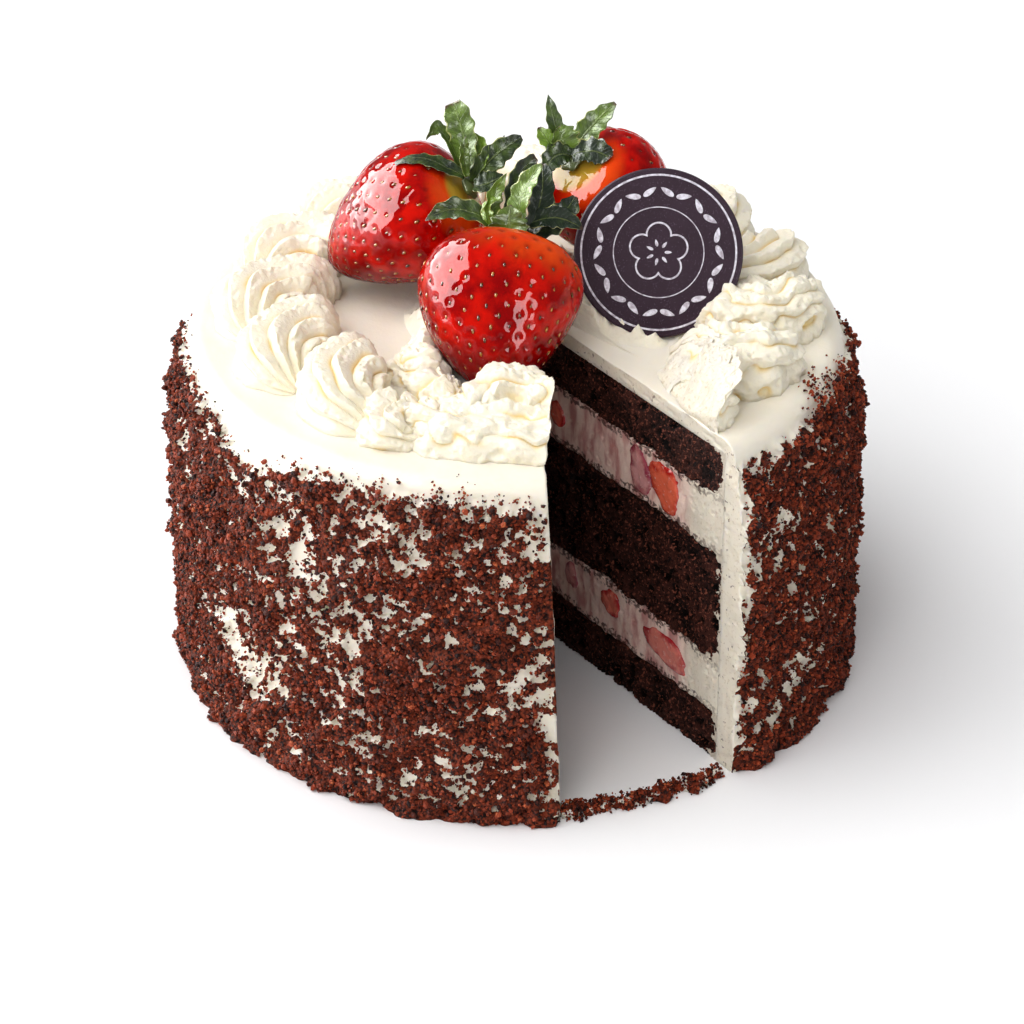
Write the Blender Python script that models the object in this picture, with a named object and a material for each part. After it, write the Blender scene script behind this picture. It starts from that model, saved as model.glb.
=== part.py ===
"""A round chocolate and strawberry cream cake with one slice taken out.

Three layers of chocolate sponge and two of cream with strawberries stand inside a wall of
whipped cream, which chocolate crumbs cover round the side. A ring of piped swirls runs round
the top, and three strawberries and a chocolate disc stand in the middle of it.
"""

import math
import random

import bmesh
import bpy
from mathutils import Vector, noise
from mathutils.bvhtree import BVHTree

# Driving dimensions, in millimetres. The cake stands on Z = 0 with its axis on the Z axis.
MM = 0.001
GAP = 0.3                       # clearance between two pieces that touch

CAKE_TOP = 100.6                # upper face of the cream
LAYER_RADIUS = 85.2             # sponge and filling, inside the wall of cream
LAYER_TOPS = (15.0, 31.5, 65.0, 82.5, 96.4)
LAYER_NAMES = ("sponge_bottom", "filling_lower", "sponge_middle", "filling_upper", "sponge_top")
LAYER_WAVE = 1.1                # how far the layers' faces rise and fall
LAYER_SECTIONS = 42             # upright sections round a layer
COAT_REACH = 95.6               # furthest crumb from the axis
COAT_LINE = 94.0                # height that the crumbs reach on the side
COAT_SECTIONS = 76              # upright sections round the cream and its crumbs
COAT_ROWS = 15
COAT_ROW_STEP = 6.1

RIGHT_CUT = math.radians(35.2)  # headings of the cuts, from -Y towards +X
LEFT_CUT = math.radians(4.2)
APEX_TOP = Vector((1.0, 10.5))  # where the cuts meet, on the top of the cake
APEX_SLIDE = 6.8                # the left cut leans, so lower down they meet nearer the rim

RING_MIDDLE = Vector((1.5, 4.5))  # the ring of swirls was piped a little off the axis
RING_RADIUS = 69.0
SWIRL_RADIUS = 15.8
SWIRL_HEIGHT = 12.6
SWIRL_RIDGE = 1.1               # half the height of a ridge over the groove beside it

DISC_RADIUS = 23.5
DISC_THICKNESS = 2.6
DISC_FOOT = Vector((38.8, -11.8, 101.4))
LEAN_BACK = math.radians(31.5)  # of the disc and of the leaves, away from the front

random.seed(7)


def material(name, colour, roughness):
    finish = bpy.data.materials.new(name)
    finish.use_nodes = True
    finish.diffuse_color = (*colour, 1.0)
    shader = finish.node_tree.nodes["Principled BSDF"]
    shader.inputs["Base Color"].default_value = (*colour, 1.0)
    shader.inputs["Roughness"].default_value = roughness
    shader.inputs["Metallic"].default_value = 0.0
    return finish


def add_piece(name, points, faces, finish):
    """Add an object from points in millimetres, with its faces turned outwards."""
    mesh = bpy.data.meshes.new(name)
    mesh.from_pydata([Vector(point) * MM for point in points], [], faces)
    work = bmesh.new()
    work.from_mesh(mesh)
    bmesh.ops.recalc_face_normals(work, faces=work.faces)
    work.to_mesh(mesh)
    work.free()
    if finish:
        mesh.materials.append(finish)
    piece = bpy.data.objects.new(name, mesh)
    bpy.context.collection.objects.link(piece)
    return piece


def shade_round(piece, sharp_angle=50.0):
    piece.data.shade_smooth()
    piece.data.set_sharp_from_angle(angle=math.radians(sharp_angle))


def as_cutter(piece):
    piece.hide_render = True
    piece.display_type = "WIRE"
    return piece


def cut_away(piece, cutter):
    modifier = piece.modifiers.new(cutter.name, "BOOLEAN")
    modifier.operation = "DIFFERENCE"
    modifier.solver = "EXACT"
    modifier.object = cutter


# The two cuts, which meet on a leaning line just behind the cake's axis.

def heading(angle):
    return Vector((math.sin(angle), -math.cos(angle)))


def apex(height):
    return APEX_TOP + heading(RIGHT_CUT) * APEX_SLIDE * (1 - height / CAKE_TOP)


def from_apex(angle, height, radius, share=1.0):
    """A point on the way from the apex to a circle round the cake's axis."""
    start, way = apex(height), heading(angle)
    along = start.dot(way)
    reach = -along + math.sqrt(along * along - start.dot(start) + radius * radius)
    flat = start + way * reach * share
    return Vector((flat.x, flat.y, height))


def section_angles(count):
    """Headings of the upright sections, round the cake from the right cut to the left one."""
    sweep = LEFT_CUT + 2 * math.pi - RIGHT_CUT
    return [RIGHT_CUT + sweep * step / count for step in range(count + 1)]


def sweep_sections(name, sections, finish):
    """Join upright sections into a body with a flat face at each cut.

    Each section runs from the apex line out and round, and ends on the apex line above.
    Two bodies that meet split the faces between them along the same diagonals.
    """
    rows = len(sections[0]) - 2
    points = [sections[0][0], sections[0][-1]]
    for section in sections:
        points += section[1:-1]

    def index(column, row):
        return 2 + column * rows + row

    faces = []
    for column in range(len(sections) - 1):
        faces.append((0, index(column + 1, 0), index(column, 0)))
        faces.append((1, index(column, rows - 1), index(column + 1, rows - 1)))
        for row in range(rows - 1):
            here, beside = index(column, row), index(column + 1, row)
            outer, far = index(column, row + 1), index(column + 1, row + 1)
            if points[here].xy.length < points[outer].xy.length:
                faces += [(here, beside, far), (here, far, outer)]
            else:
                faces += [(here, beside, outer), (beside, far, outer)]
    last = len(sections) - 1
    faces.append([0] + [index(0, row) for row in range(rows)] + [1])
    faces.append([1] + [index(last, row) for row in reversed(range(rows))] + [0])
    return add_piece(name, points, faces, finish)


# The layers, each a disc with the slice missing, whose faces rise and fall a little.

def layer_face(level, angle, share, above=0.0):
    """A point on the face between two layers; above lifts it clear of the layer below."""
    height = LAYER_TOPS[level] if level >= 0 else 0.0
    wavy = 0 <= level < len(LAYER_TOPS) - 1
    flat = from_apex(angle, height, LAYER_RADIUS, share)
    if wavy:
        height += LAYER_WAVE * noise.noise(Vector((flat.x / 24, flat.y / 24, 9.1 * level)))
    return from_apex(angle, height + above, LAYER_RADIUS, share)


def layer(level, finish):
    lift = GAP if level > 0 else 0.0
    sections = []
    for angle in section_angles(LAYER_SECTIONS):
        below = [layer_face(level - 1, angle, share, lift) for share in (0.0, 0.55, 1.0)]
        above = [layer_face(level, angle, share) for share in (1.0, 0.55, 0.0)]
        sections.append(below + above)
    return sweep_sections(LAYER_NAMES[level], sections, finish)


# The cream wall and top, with the crumb coat as bumps on its side.

def cream_radius(height):
    """Outer radius of the cream, which bellies a little and narrows towards the top."""
    return 90.2 + 1.8 * math.sin(math.pi * min(height / 78, 1.0)) - 0.9 * height / CAKE_TOP


def crumb_line(angle):
    ripple = noise.noise(Vector((5 * math.sin(angle), 5 * math.cos(angle), 0.4)))
    return COAT_LINE + 4.5 * ripple


def coat_thickness(angle, height):
    """Height of the crumbs over the cream: clumps, bare hollows and a thicker skirt."""
    around = Vector((9 * math.sin(angle), 9 * math.cos(angle), height / 10))
    clump = 1.6 + 2.2 * noise.noise(around) + random.uniform(-0.7, 0.9)
    skirt = 1.4 * max(0.0, 1 - height / 9)
    if height > crumb_line(angle):
        return 0.0
    return max(0.3, clump + skirt)


def cream_section(angle, at_cut):
    """One upright section: over the layers, down behind them, up the side and in over the top."""
    inner = LAYER_RADIUS + GAP
    under_top = LAYER_TOPS[-1] + GAP
    section = [from_apex(angle, under_top, inner, 0.0), from_apex(angle, under_top, inner),
               from_apex(angle, 0.0, inner)]
    for row in range(COAT_ROWS + 1):
        height = row * COAT_ROW_STEP
        turn = angle
        if row and not at_cut:
            height += random.uniform(-1.6, 1.6)
            turn += math.radians(random.uniform(-1.1, 1.1))
        outer = cream_radius(height) + coat_thickness(turn, height)
        section.append(from_apex(turn, height, min(outer, COAT_REACH)))
    for inset, drop in ((0.9, 4.0), (2.6, 1.2), (5.2, 0.0)):
        section.append(from_apex(angle, CAKE_TOP - drop, cream_radius(CAKE_TOP) - inset))
    section.append(from_apex(angle, CAKE_TOP, LAYER_RADIUS, 0.0))
    return section


def frosting(cream, coat):
    angles = section_angles(COAT_SECTIONS)
    sections = [cream_section(angle, angle in (angles[0], angles[-1])) for angle in angles]
    piece = sweep_sections("frosting", sections, cream)
    piece.data.materials.append(coat)
    for face in piece.data.polygons:
        outside = face.center.xy.length > (LAYER_RADIUS + 3) * MM
        at_side = abs(face.normal.z) < 0.75 and len(face.vertices) < 5
        if outside and at_side and face.center.z < COAT_LINE * MM:
            face.material_index = 1
    return piece


# What the knife left of the coat's skirt, across the mouth of the cut.

def coat_remnant(finish):
    inner, outer = 87.5, 94.2
    first, last = math.radians(9.2), math.radians(37.6)
    steps = 14
    points = []
    for step in range(steps + 1):
        way = heading(first + (last - first) * step / steps)
        ragged = random.uniform(-1.0, 1.0)
        profile = ((inner + ragged, 0.0), (outer + ragged * 0.5, 0.0),
                   (outer - 0.6, 2.4 + ragged), (inner + 2.6 + ragged, 3.6 + ragged))
        points += [(way.x * radius, way.y * radius, height) for radius, height in profile]
    faces = [(0, 1, 2, 3), tuple(4 * steps + corner for corner in (3, 2, 1, 0))]
    for step in range(steps):
        for corner in range(4):
            beside = (corner + 1) % 4
            faces.append((4 * step + corner, 4 * step + beside,
                          4 * step + 4 + beside, 4 * step + 4 + corner))
    return add_piece("coat_remnant", points, faces, finish)


# Strawberry pieces in the fillings, sliced through at the two faces of the cut.

class CutFace:
    """One face of the cut: distance along it from the point nearest the axis, and height."""

    def __init__(self, angle, inward_sign):
        self.along = Vector((*heading(angle), 0.0))
        base, top = apex(0.0), apex(CAKE_TOP)
        upright = Vector((*(top - base), CAKE_TOP)) / CAKE_TOP
        self.upright = upright - self.along * upright.dot(self.along)
        self.inward = self.along.cross(self.upright).normalized() * inward_sign
        start = Vector((*base, 0.0))
        self.origin = start - self.along * start.dot(self.along)

    def point(self, along, height, inward):
        return self.origin + self.along * along + self.upright * height + self.inward * inward


RIGHT_FACE = CutFace(RIGHT_CUT, -1)
LEFT_FACE = CutFace(LEFT_CUT, 1)

# Name, face, place along the face, height, half width, half height and tilt in degrees.
FRUIT_PIECES = (
    ("fruit_right_1", RIGHT_FACE, 10.8, 73.4, 3.4, 3.6, 10),
    ("fruit_right_2", RIGHT_FACE, 45.6, 73.6, 4.4, 5.6, -20),
    ("fruit_right_3", RIGHT_FACE, 60.6, 75.0, 5.4, 5.4, -35),
    ("fruit_right_4", RIGHT_FACE, 18.0, 25.2, 3.2, 3.8, 15),
    ("fruit_right_5", RIGHT_FACE, 36.6, 25.4, 4.8, 3.8, -20),
    ("fruit_right_6", RIGHT_FACE, 61.5, 23.4, 10.8, 4.2, -12),
    ("fruit_left_1", LEFT_FACE, 30.0, 73.6, 7.0, 5.2, 12),
    ("fruit_left_2", LEFT_FACE, 62.0, 73.4, 5.6, 5.6, -8),
    ("fruit_left_3", LEFT_FACE, 22.0, 23.6, 5.0, 4.6, -10),
    ("fruit_left_4", LEFT_FACE, 66.0, 23.4, 8.6, 4.6, 6),
)


def fruit_piece(name, face, along, height, half_width, half_height, tilt, finish, cutter=False):
    """A chunk that fills the cream behind the cut; its cutter is larger by the gap."""
    sides = 10
    grow = GAP if cutter else 0.0
    rings = ((-3.0 if cutter else -0.4, 1.0 if cutter else 0.88), (1.2, 1.0), (4.6, 0.82))
    depth = 7.0 + grow
    lean = math.radians(tilt)
    points = []
    for inward, share in rings:
        for side in range(sides):
            turn = 2 * math.pi * side / sides
            lumpy = 1 + 0.07 * math.sin(3 * turn + along)
            across = (half_width * lumpy * share + grow) * math.cos(turn)
            rise = (half_height * lumpy * share + grow) * math.sin(turn)
            points.append(face.point(along + across * math.cos(lean) - rise * math.sin(lean),
                                     height + across * math.sin(lean) + rise * math.cos(lean),
                                     inward))
    points.append(face.point(along, height, depth))
    tip = len(points) - 1
    faces = [tuple(range(sides))]
    for side in range(sides):
        beside = (side + 1) % sides
        for ring in range(len(rings) - 1):
            faces.append((ring * sides + side, ring * sides + beside,
                          (ring + 1) * sides + beside, (ring + 1) * sides + side))
        faces.append(((len(rings) - 1) * sides + side, (len(rings) - 1) * sides + beside, tip))
    return add_piece(name, points, faces, finish)


# The strawberries on top, each from its calyx to its tip.

class Berry:
    def __init__(self, name, calyx, tip, radius, sway, twist):
        self.name = name
        self.calyx = Vector(calyx)
        self.tip = Vector(tip)
        self.radius = radius
        self.sway = sway            # how far the middle bulges to one side
        self.twist = twist          # heading of that side, in degrees
        self.length = (self.tip - self.calyx).length

    def surface(self, share, turn, grow):
        """A point of the skin in the berry's own frame, where +Z runs from calyx to tip."""
        swell = math.sin(math.pi * share ** 0.70) ** 0.62 if 0 < share < 1 else 0.0
        uneven = 1 + 0.045 * math.cos(2 * turn + 0.6) + 0.025 * math.cos(3 * turn)
        radius = self.radius * swell * uneven + (grow if swell else 0.0)
        aside = self.sway * math.sin(math.pi * share)
        side = math.radians(self.twist)
        return Vector((radius * math.cos(turn) + aside * math.cos(side),
                       radius * math.sin(turn) + aside * math.sin(side),
                       self.length * share + grow * (2 * share - 1)))

    def solid(self, name, finish, grow=0.0, sides=16):
        shares = (0.025, 0.09, 0.19, 0.31, 0.44, 0.57, 0.70, 0.82, 0.92, 0.98)
        points = [self.surface(0.0, 0.0, grow), self.surface(1.0, 0.0, grow)]
        for share in shares:
            points += [self.surface(share, 2 * math.pi * side / sides, grow)
                       for side in range(sides)]
        faces = []
        for side in range(sides):
            beside = (side + 1) % sides
            last = 2 + (len(shares) - 1) * sides
            faces.append((0, 2 + beside, 2 + side))
            faces.append((1, last + side, last + beside))
            for ring in range(len(shares) - 1):
                low = 2 + ring * sides
                faces.append((low + side, low + beside, low + sides + beside, low + sides + side))
        piece = add_piece(name, points, faces, finish)
        piece.location = self.calyx * MM
        piece.rotation_euler = self.attitude().to_euler()
        shade_round(piece)
        return piece

    def hull(self, grow):
        """A search tree of the skin moved out by grow, in the cake's own frame."""
        shell = self.solid("hull_" + self.name, None, grow)
        bpy.context.view_layer.update()
        corners = [shell.matrix_world @ corner.co / MM for corner in shell.data.vertices]
        tree = BVHTree.FromPolygons(corners, [face.vertices for face in shell.data.polygons])
        bpy.data.objects.remove(shell)
        return tree

    def attitude(self):
        return (self.tip - self.calyx).to_track_quat("Z", "Y")


BERRIES = (
    Berry("front", (-1.6, -8.2, 132.0), (-4.5, -41.5, 105.6), 22.0, 3.0, 180),
    Berry("left", (-13.5, 12.0, 132.5), (-50.5, 19.5, 108.0), 19.6, 0.6, 90),
    Berry("back", (18.5, 20.0, 131.5), (40.0, 37.0, 105.0), 20.0, 0.5, 0),
)


# The calyxes: a small knob and leaves that stand up, hang over or curl.
# A leaf's bend and tip are given from the calyx as seen from the front, 31.5 degrees above
# the table: to the right, up, and towards the viewer. The last number is its widest part.

LEAVES = {
    "front": (((-9.0, 4.0, 4.0), (-24.0, 2.0, 1.0), 5.0),
              ((-7.0, 6.0, 1.5), (-3.0, 16.0, 1.0), 5.0),
              ((-0.5, 1.0, 5.5), (0.0, 5.0, 8.0), 9.0),
              ((-1.5, 9.0, -2.0), (7.0, 19.5, -3.0), 5.0),
              ((4.0, 5.0, 3.0), (8.0, 16.0, 3.5), 6.0),
              ((9.0, 5.0, -1.0), (10.5, 17.0, -6.0), 5.5),
              ((9.0, 3.0, 2.0), (21.0, -1.0, 2.0), 6.0)),
    "left": (((-2.0, 9.0, 0.0), (-4.5, 20.5, 2.0), 7.0),
             ((-8.0, 12.0, 1.0), (-11.5, 7.0, 4.0), 4.5),
             ((-8.0, 4.5, 4.5), (-18.5, 1.5, 2.5), 5.0),
             ((6.0, 4.0, 2.0), (15.0, 10.5, -2.0), 7.5),
             ((3.0, 6.0, -4.0), (3.5, 9.5, -6.0), 5.0),
             ((3.0, -1.0, 4.0), (5.5, -3.5, 6.0), 6.0)),
    "back": (((-2.5, 7.0, 0.0), (-6.0, 15.5, 0.5), 3.6),
             ((4.5, 6.0, 0.0), (12.0, 13.5, 1.0), 6.5),
             ((-6.0, 3.0, 2.0), (-9.0, 6.5, 0.0), 4.5),
             ((-4.0, 0.5, 4.5), (-9.0, -3.5, 5.0), 6.0),
             ((5.0, 1.5, 4.5), (10.5, -1.0, 4.0), 6.0),
             ((2.0, 5.0, -5.0), (4.0, 8.0, -9.0), 6.0)),
}


def seen_from_front(right, up, near):
    """Turn a direction as seen from the front and above into the cake's own axes."""
    rise = Vector((0.0, math.sin(LEAN_BACK), math.cos(LEAN_BACK)))
    towards = Vector((0.0, -math.cos(LEAN_BACK), math.sin(LEAN_BACK)))
    return Vector((right, 0.0, 0.0)) + rise * up + towards * near


def pushed_out(point, hulls):
    """Move a point that lies inside a berry's hull to its surface."""
    for hull in hulls:
        nearest, normal = hull.find_nearest(point)[:2]
        if (point - nearest).dot(normal) < 0:
            point = nearest
    return point


def leaf(name, foot, bend, tip, width, hulls, finish):
    """A thin pointed leaf along a curve, folded along its midrib, in the cake's own axes."""
    thickness = 0.7
    stations = (0.0, 0.38, 0.76)
    wide = (0.55, 1.0, 0.6)
    across = (tip - foot).cross(seen_from_front(0.15, 0.5, 1.0)).normalized()
    top, under = [], []
    for share, breadth in zip(stations, wide):
        spine = foot.lerp(bend, share).lerp(bend.lerp(tip, share), share)
        tangent = (bend - foot).lerp(tip - bend, share).normalized()
        face = across.cross(tangent).normalized()
        half = across * width * breadth / 2
        fold = face * width * breadth * 0.14
        for offset in (-half + fold, Vector(), half + fold):
            place = pushed_out(spine + offset, hulls)
            top.append(place + face * thickness / 2)
            under.append(place - face * thickness / 2)
    end = pushed_out(tip, hulls)
    top.append(end + face * thickness * 0.25)
    under.append(end - face * thickness * 0.25)
    size = len(top)
    skin = []
    for station in range(len(stations) - 1):
        for side in (0, 1):
            corner = 3 * station + side
            skin += [(corner, corner + 1, corner + 4), (corner, corner + 4, corner + 3)]
    skin += [(size - 4, size - 3, size - 1), (size - 3, size - 2, size - 1)]
    edge = [0, 1, 2] + [3 * station + 2 for station in range(1, len(stations))]
    edge += [size - 1] + [3 * station for station in range(len(stations) - 1, 0, -1)]
    faces = list(skin) + [tuple(size + corner for corner in reversed(face)) for face in skin]
    for start, end in zip(edge, edge[1:] + edge[:1]):
        faces += [(start, end, size + end), (start, size + end, size + start)]
    return add_piece(name, top + under, faces, finish)


def calyx(berry, hulls, finish):
    """The knob where the stalk was, with the leaves joined to it."""
    axis = (berry.calyx - berry.tip).normalized()
    middle = berry.calyx + axis * 1.9
    bpy.ops.mesh.primitive_uv_sphere_add(segments=8, ring_count=4, radius=3.2 * MM,
                                         location=middle * MM)
    knob = bpy.context.object
    knob.name = "calyx_" + berry.name
    knob.scale = (1.0, 1.0, 0.42)
    knob.rotation_euler = berry.attitude().to_euler()
    bpy.ops.object.transform_apply(location=True, rotation=True, scale=True)
    knob.data.materials.append(finish)
    leaves = bpy.data.collections.new("leaves_" + berry.name)
    bpy.context.scene.collection.children.link(leaves)
    for number, (bend, tip, width) in enumerate(LEAVES[berry.name]):
        piece = leaf(f"leaf_{berry.name}_{number}", middle, middle + seen_from_front(*bend),
                     middle + seen_from_front(*tip), width, hulls, finish)
        bpy.context.collection.objects.unlink(piece)
        leaves.objects.link(piece)
    join = knob.modifiers.new("leaves", "BOOLEAN")
    join.operation = "UNION"
    join.solver = "EXACT"
    join.operand_type = "COLLECTION"
    join.collection = leaves
    bpy.context.view_layer.objects.active = knob
    bpy.ops.object.modifier_apply(modifier=join.name)
    for piece in list(leaves.objects):
        bpy.data.objects.remove(piece)
    bpy.data.collections.remove(leaves)
    return knob


# The chocolate disc, which leans back and stands in the cream on its foot.

def disc(name, finish, grow=0.0, segments=48):
    rise = seen_from_front(0.0, 1.0, 0.0)
    centre = DISC_FOOT + rise * DISC_RADIUS
    bpy.ops.mesh.primitive_cylinder_add(vertices=segments, radius=(DISC_RADIUS + grow) * MM,
                                        depth=(DISC_THICKNESS + 2 * grow) * MM,
                                        location=centre * MM,
                                        rotation=(math.pi / 2 - LEAN_BACK, 0.0, 0.0))
    piece = bpy.context.object
    piece.name = name
    piece.data.materials.append(finish)
    shade_round(piece)
    return piece


# Piped swirls and the mound of cream in the middle: heaps on the flat top of the cake.

def ray_to_line(start, way, point, outward):
    """How far a ray runs before it crosses the line through point."""
    closing = way.dot(outward)
    return (point - start).dot(outward) / closing if closing > 1e-6 else math.inf


def ray_to_circle(start, way, centre, radius, leaving):
    """How far a ray runs to a circle: to its far side when leaving it, else to its near one."""
    offset = start - centre
    along = offset.dot(way)
    square = along * along - offset.dot(offset) + radius * radius
    if square < 0:
        return math.inf
    reach = -along + math.sqrt(square) * (1 if leaving else -1)
    return reach if reach > 0 else math.inf


def ray_to_cuts(start, way):
    """How far a ray runs on top of the cake before it comes out at a cut."""
    reach = math.inf
    for angle, side in ((RIGHT_CUT, -1), (LEFT_CUT, 1)):
        outward = Vector((math.cos(angle), math.sin(angle))) * side
        distance = ray_to_line(start, way, APEX_TOP, outward)
        if distance > 0 and (start + way * distance - APEX_TOP).dot(heading(angle)) > 0:
            reach = min(reach, distance - GAP)
    return reach


def dome(name, top, rings, finish):
    """Close a dome from its top point and its rings of points; the last ring is its foot."""
    sides = len(rings[0])
    points = [top] + [point for ring in rings for point in ring]
    faces = [(0, 1 + side, 1 + (side + 1) % sides) for side in range(sides)]
    for ring in range(len(rings) - 1):
        for side in range(sides):
            low, beside = 1 + ring * sides, (side + 1) % sides
            faces.append((low + side, low + sides + side, low + sides + beside, low + beside))
    foot = 1 + (len(rings) - 1) * sides
    faces.append(tuple(foot + side for side in reversed(range(sides))))
    piece = add_piece(name, points, faces, finish)
    shade_round(piece, 35.0)
    return piece


# Heading in degrees, distance from the ring's middle, and radius of each swirl, in the order
# in which they were piped. The first two were squashed, and the last three are smeared.
SWIRLS = [(-8.3, 69.0, 18.0), (-25.5, 68.5, 13.5)]
SWIRLS += [(-40.5 - 22.0 * turn, RING_RADIUS, SWIRL_RADIUS) for turn in range(5)]
SWIRLS += [(-153.2 - 24.7 * turn, RING_RADIUS + 1, SWIRL_RADIUS) for turn in range(5)]
SWIRLS += [(87.5, 67.0, 16.0), (67.5, 62.5, 17.5), (48.0, 61.0, 17.0)]


def swirl_middle(number):
    degrees, distance = SWIRLS[number][:2]
    return RING_MIDDLE + heading(math.radians(degrees)) * distance


def swirl_limit(number, focus, way):
    """How far a swirl reaches one way before it meets the next one or a cut."""
    middle, radius = swirl_middle(number), SWIRLS[number][2]
    limit = ray_to_cuts(focus, way)
    for other, (_, _, other_radius) in enumerate(SWIRLS):
        apart = swirl_middle(other) - middle
        if 0 < apart.length < radius + other_radius + 1:
            share = 0.5 + (radius ** 2 - other_radius ** 2) / apart.length_squared / 2
            border = middle + apart * share - apart.normalized() * GAP / 2
            limit = min(limit, ray_to_line(focus, way, border, apart.normalized()))
    return limit


def swirl(number, finish):
    """One swirl: nested ridges that fan out backwards from a point near the next swirl."""
    rings, sides = 9, 13
    middle, radius = swirl_middle(number), SWIRLS[number][2]
    out = (middle - RING_MIDDLE).normalized()
    onward = Vector((-out.y, out.x))
    focus = middle + onward * min(radius / 2, swirl_limit(number, middle, onward) - 3)
    back = math.atan2(-onward.x, onward.y)
    foot = CAKE_TOP + GAP
    tilt = 0.24                 # the ridges stand higher towards the back

    columns = []
    for side in range(sides):
        turn = 2 * math.pi * side / sides
        way = heading(back + turn - 0.45 * math.sin(turn))
        full = ray_to_circle(focus, way, middle, radius, True)
        limit = swirl_limit(number, focus, way)
        column = []
        for ring in range(1, rings):
            slope = math.pi / 2 * ring / rings
            ridge = SWIRL_RIDGE * (1 if ring % 2 else -1)
            away = full * math.sin(slope) ** 0.9 + ridge * math.sin(slope)
            lift = 1 - tilt - tilt * min(away, limit) / radius * way.dot(onward)
            height = SWIRL_HEIGHT * math.cos(slope) ** 0.7 * lift + ridge * math.cos(slope)
            if away > limit and column:
                height = min(height, column[-1].z - foot - 0.3)
            column.append(Vector((*(focus + way * min(away, limit)), foot + height)))
        column.append(Vector((*(focus + way * min(full, limit)), foot)))
        columns.append(column)
    loops = list(zip(*columns))
    top = Vector((*focus, foot + SWIRL_HEIGHT * (1 - tilt) - SWIRL_RIDGE))
    return dome(f"swirl_{number + 1:02d}", top, loops, finish)


# The cream that the strawberries and the disc were set in, behind and beside the cut.

# Place of each hump in it, its width and its height.
HUMPS = ((Vector((-12.0, -12.0)), 20.0, 8.0), (Vector((4.0, 16.0)), 24.0, 13.0),
         (Vector((-25.0, -17.0)), 9.0, 7.0), (Vector((22.0, 0.0)), 9.0, 4.0),
         (Vector((34.0, -10.0)), 9.0, 4.0))


def mound(finish):
    rings, sides = 5, 26
    middle = Vector((-5.0, 16.5))
    foot = CAKE_TOP + GAP

    def height_at(flat):
        height = 0.9 + 0.8 * noise.noise(Vector((*flat, 0.0)) / 6)
        for place, width, rise in HUMPS:
            height += rise * math.exp(-2 * ((flat - place).length / width) ** 2)
        return height

    loops = [[] for ring in range(rings + 1)]
    for side in range(sides):
        way = heading(2 * math.pi * side / sides)
        reach = min(ray_to_circle(middle, way, Vector((10.0, 5.0)), 41.0, True),
                    ray_to_cuts(middle, way))
        for number, (_, _, radius) in enumerate(SWIRLS):
            beside = ray_to_circle(middle, way, swirl_middle(number), radius + 1.0, False)
            reach = min(reach, beside - GAP)
        for ring in range(rings):
            share = (ring + 1) / rings
            flat = middle + way * reach * share
            height = height_at(flat) * min(1.0, 5 * (1 - share) + 0.2)
            loops[ring].append(Vector((*flat, foot + max(0.8, height))))
        loops[rings].append(Vector((*(middle + way * reach), foot)))
    top = Vector((*middle, foot + height_at(middle)))
    return dome("cream_mound", top, loops, finish)


def build():
    for old in list(bpy.data.objects):
        bpy.data.objects.remove(old)

    cream = material("whipped_cream", (0.90, 0.86, 0.75), 0.55)
    coat = material("crumb_coat", (0.16, 0.05, 0.03), 0.85)
    sponge = material("chocolate_sponge", (0.045, 0.017, 0.012), 0.9)
    filling = material("strawberry_cream", (0.66, 0.50, 0.47), 0.5)
    fruit = material("cut_strawberry", (0.55, 0.06, 0.03), 0.35)
    skin = material("strawberry_skin", (0.62, 0.02, 0.01), 0.2)
    green = material("calyx_leaf", (0.07, 0.13, 0.02), 0.5)
    chocolate = material("dark_chocolate", (0.035, 0.02, 0.022), 0.4)

    frosting(cream, coat)
    layers = {name: layer(level, filling if "filling" in name else sponge)
              for level, name in enumerate(LAYER_NAMES)}
    coat_remnant(coat)

    for row in FRUIT_PIECES:
        fruit_piece(*row, fruit)
        pocket = as_cutter(fruit_piece("pocket_" + row[0], *row[1:], fruit, cutter=True))
        cut_away(layers["filling_upper" if row[3] > 50 else "filling_lower"], pocket)

    hulls = [berry.hull(1.0) for berry in BERRIES]
    cutters = [as_cutter(disc("slot_for_disc", chocolate, GAP, 32))]
    disc("chocolate_disc", chocolate)
    for berry in BERRIES:
        berry.solid("strawberry_" + berry.name, skin)
        calyx(berry, hulls, green)
        cutters.append(as_cutter(berry.solid("seat_" + berry.name, skin, 0.5)))

    heaps = [swirl(number, cream) for number in range(len(SWIRLS))]
    heaps.append(mound(cream))
    for piece in heaps:
        for cutter in cutters:
            cut_away(piece, cutter)


build()
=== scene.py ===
"""A round chocolate and strawberry cream cake with one slice taken out, in the order that a
baker puts it together: sponge and cream, the coat of crumbs, piping, strawberries, plaque.
"""

import math

import bmesh
import bpy
import numpy as np
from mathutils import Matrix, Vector, noise
from mathutils.bvhtree import BVHTree
from mathutils.kdtree import KDTree


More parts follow.
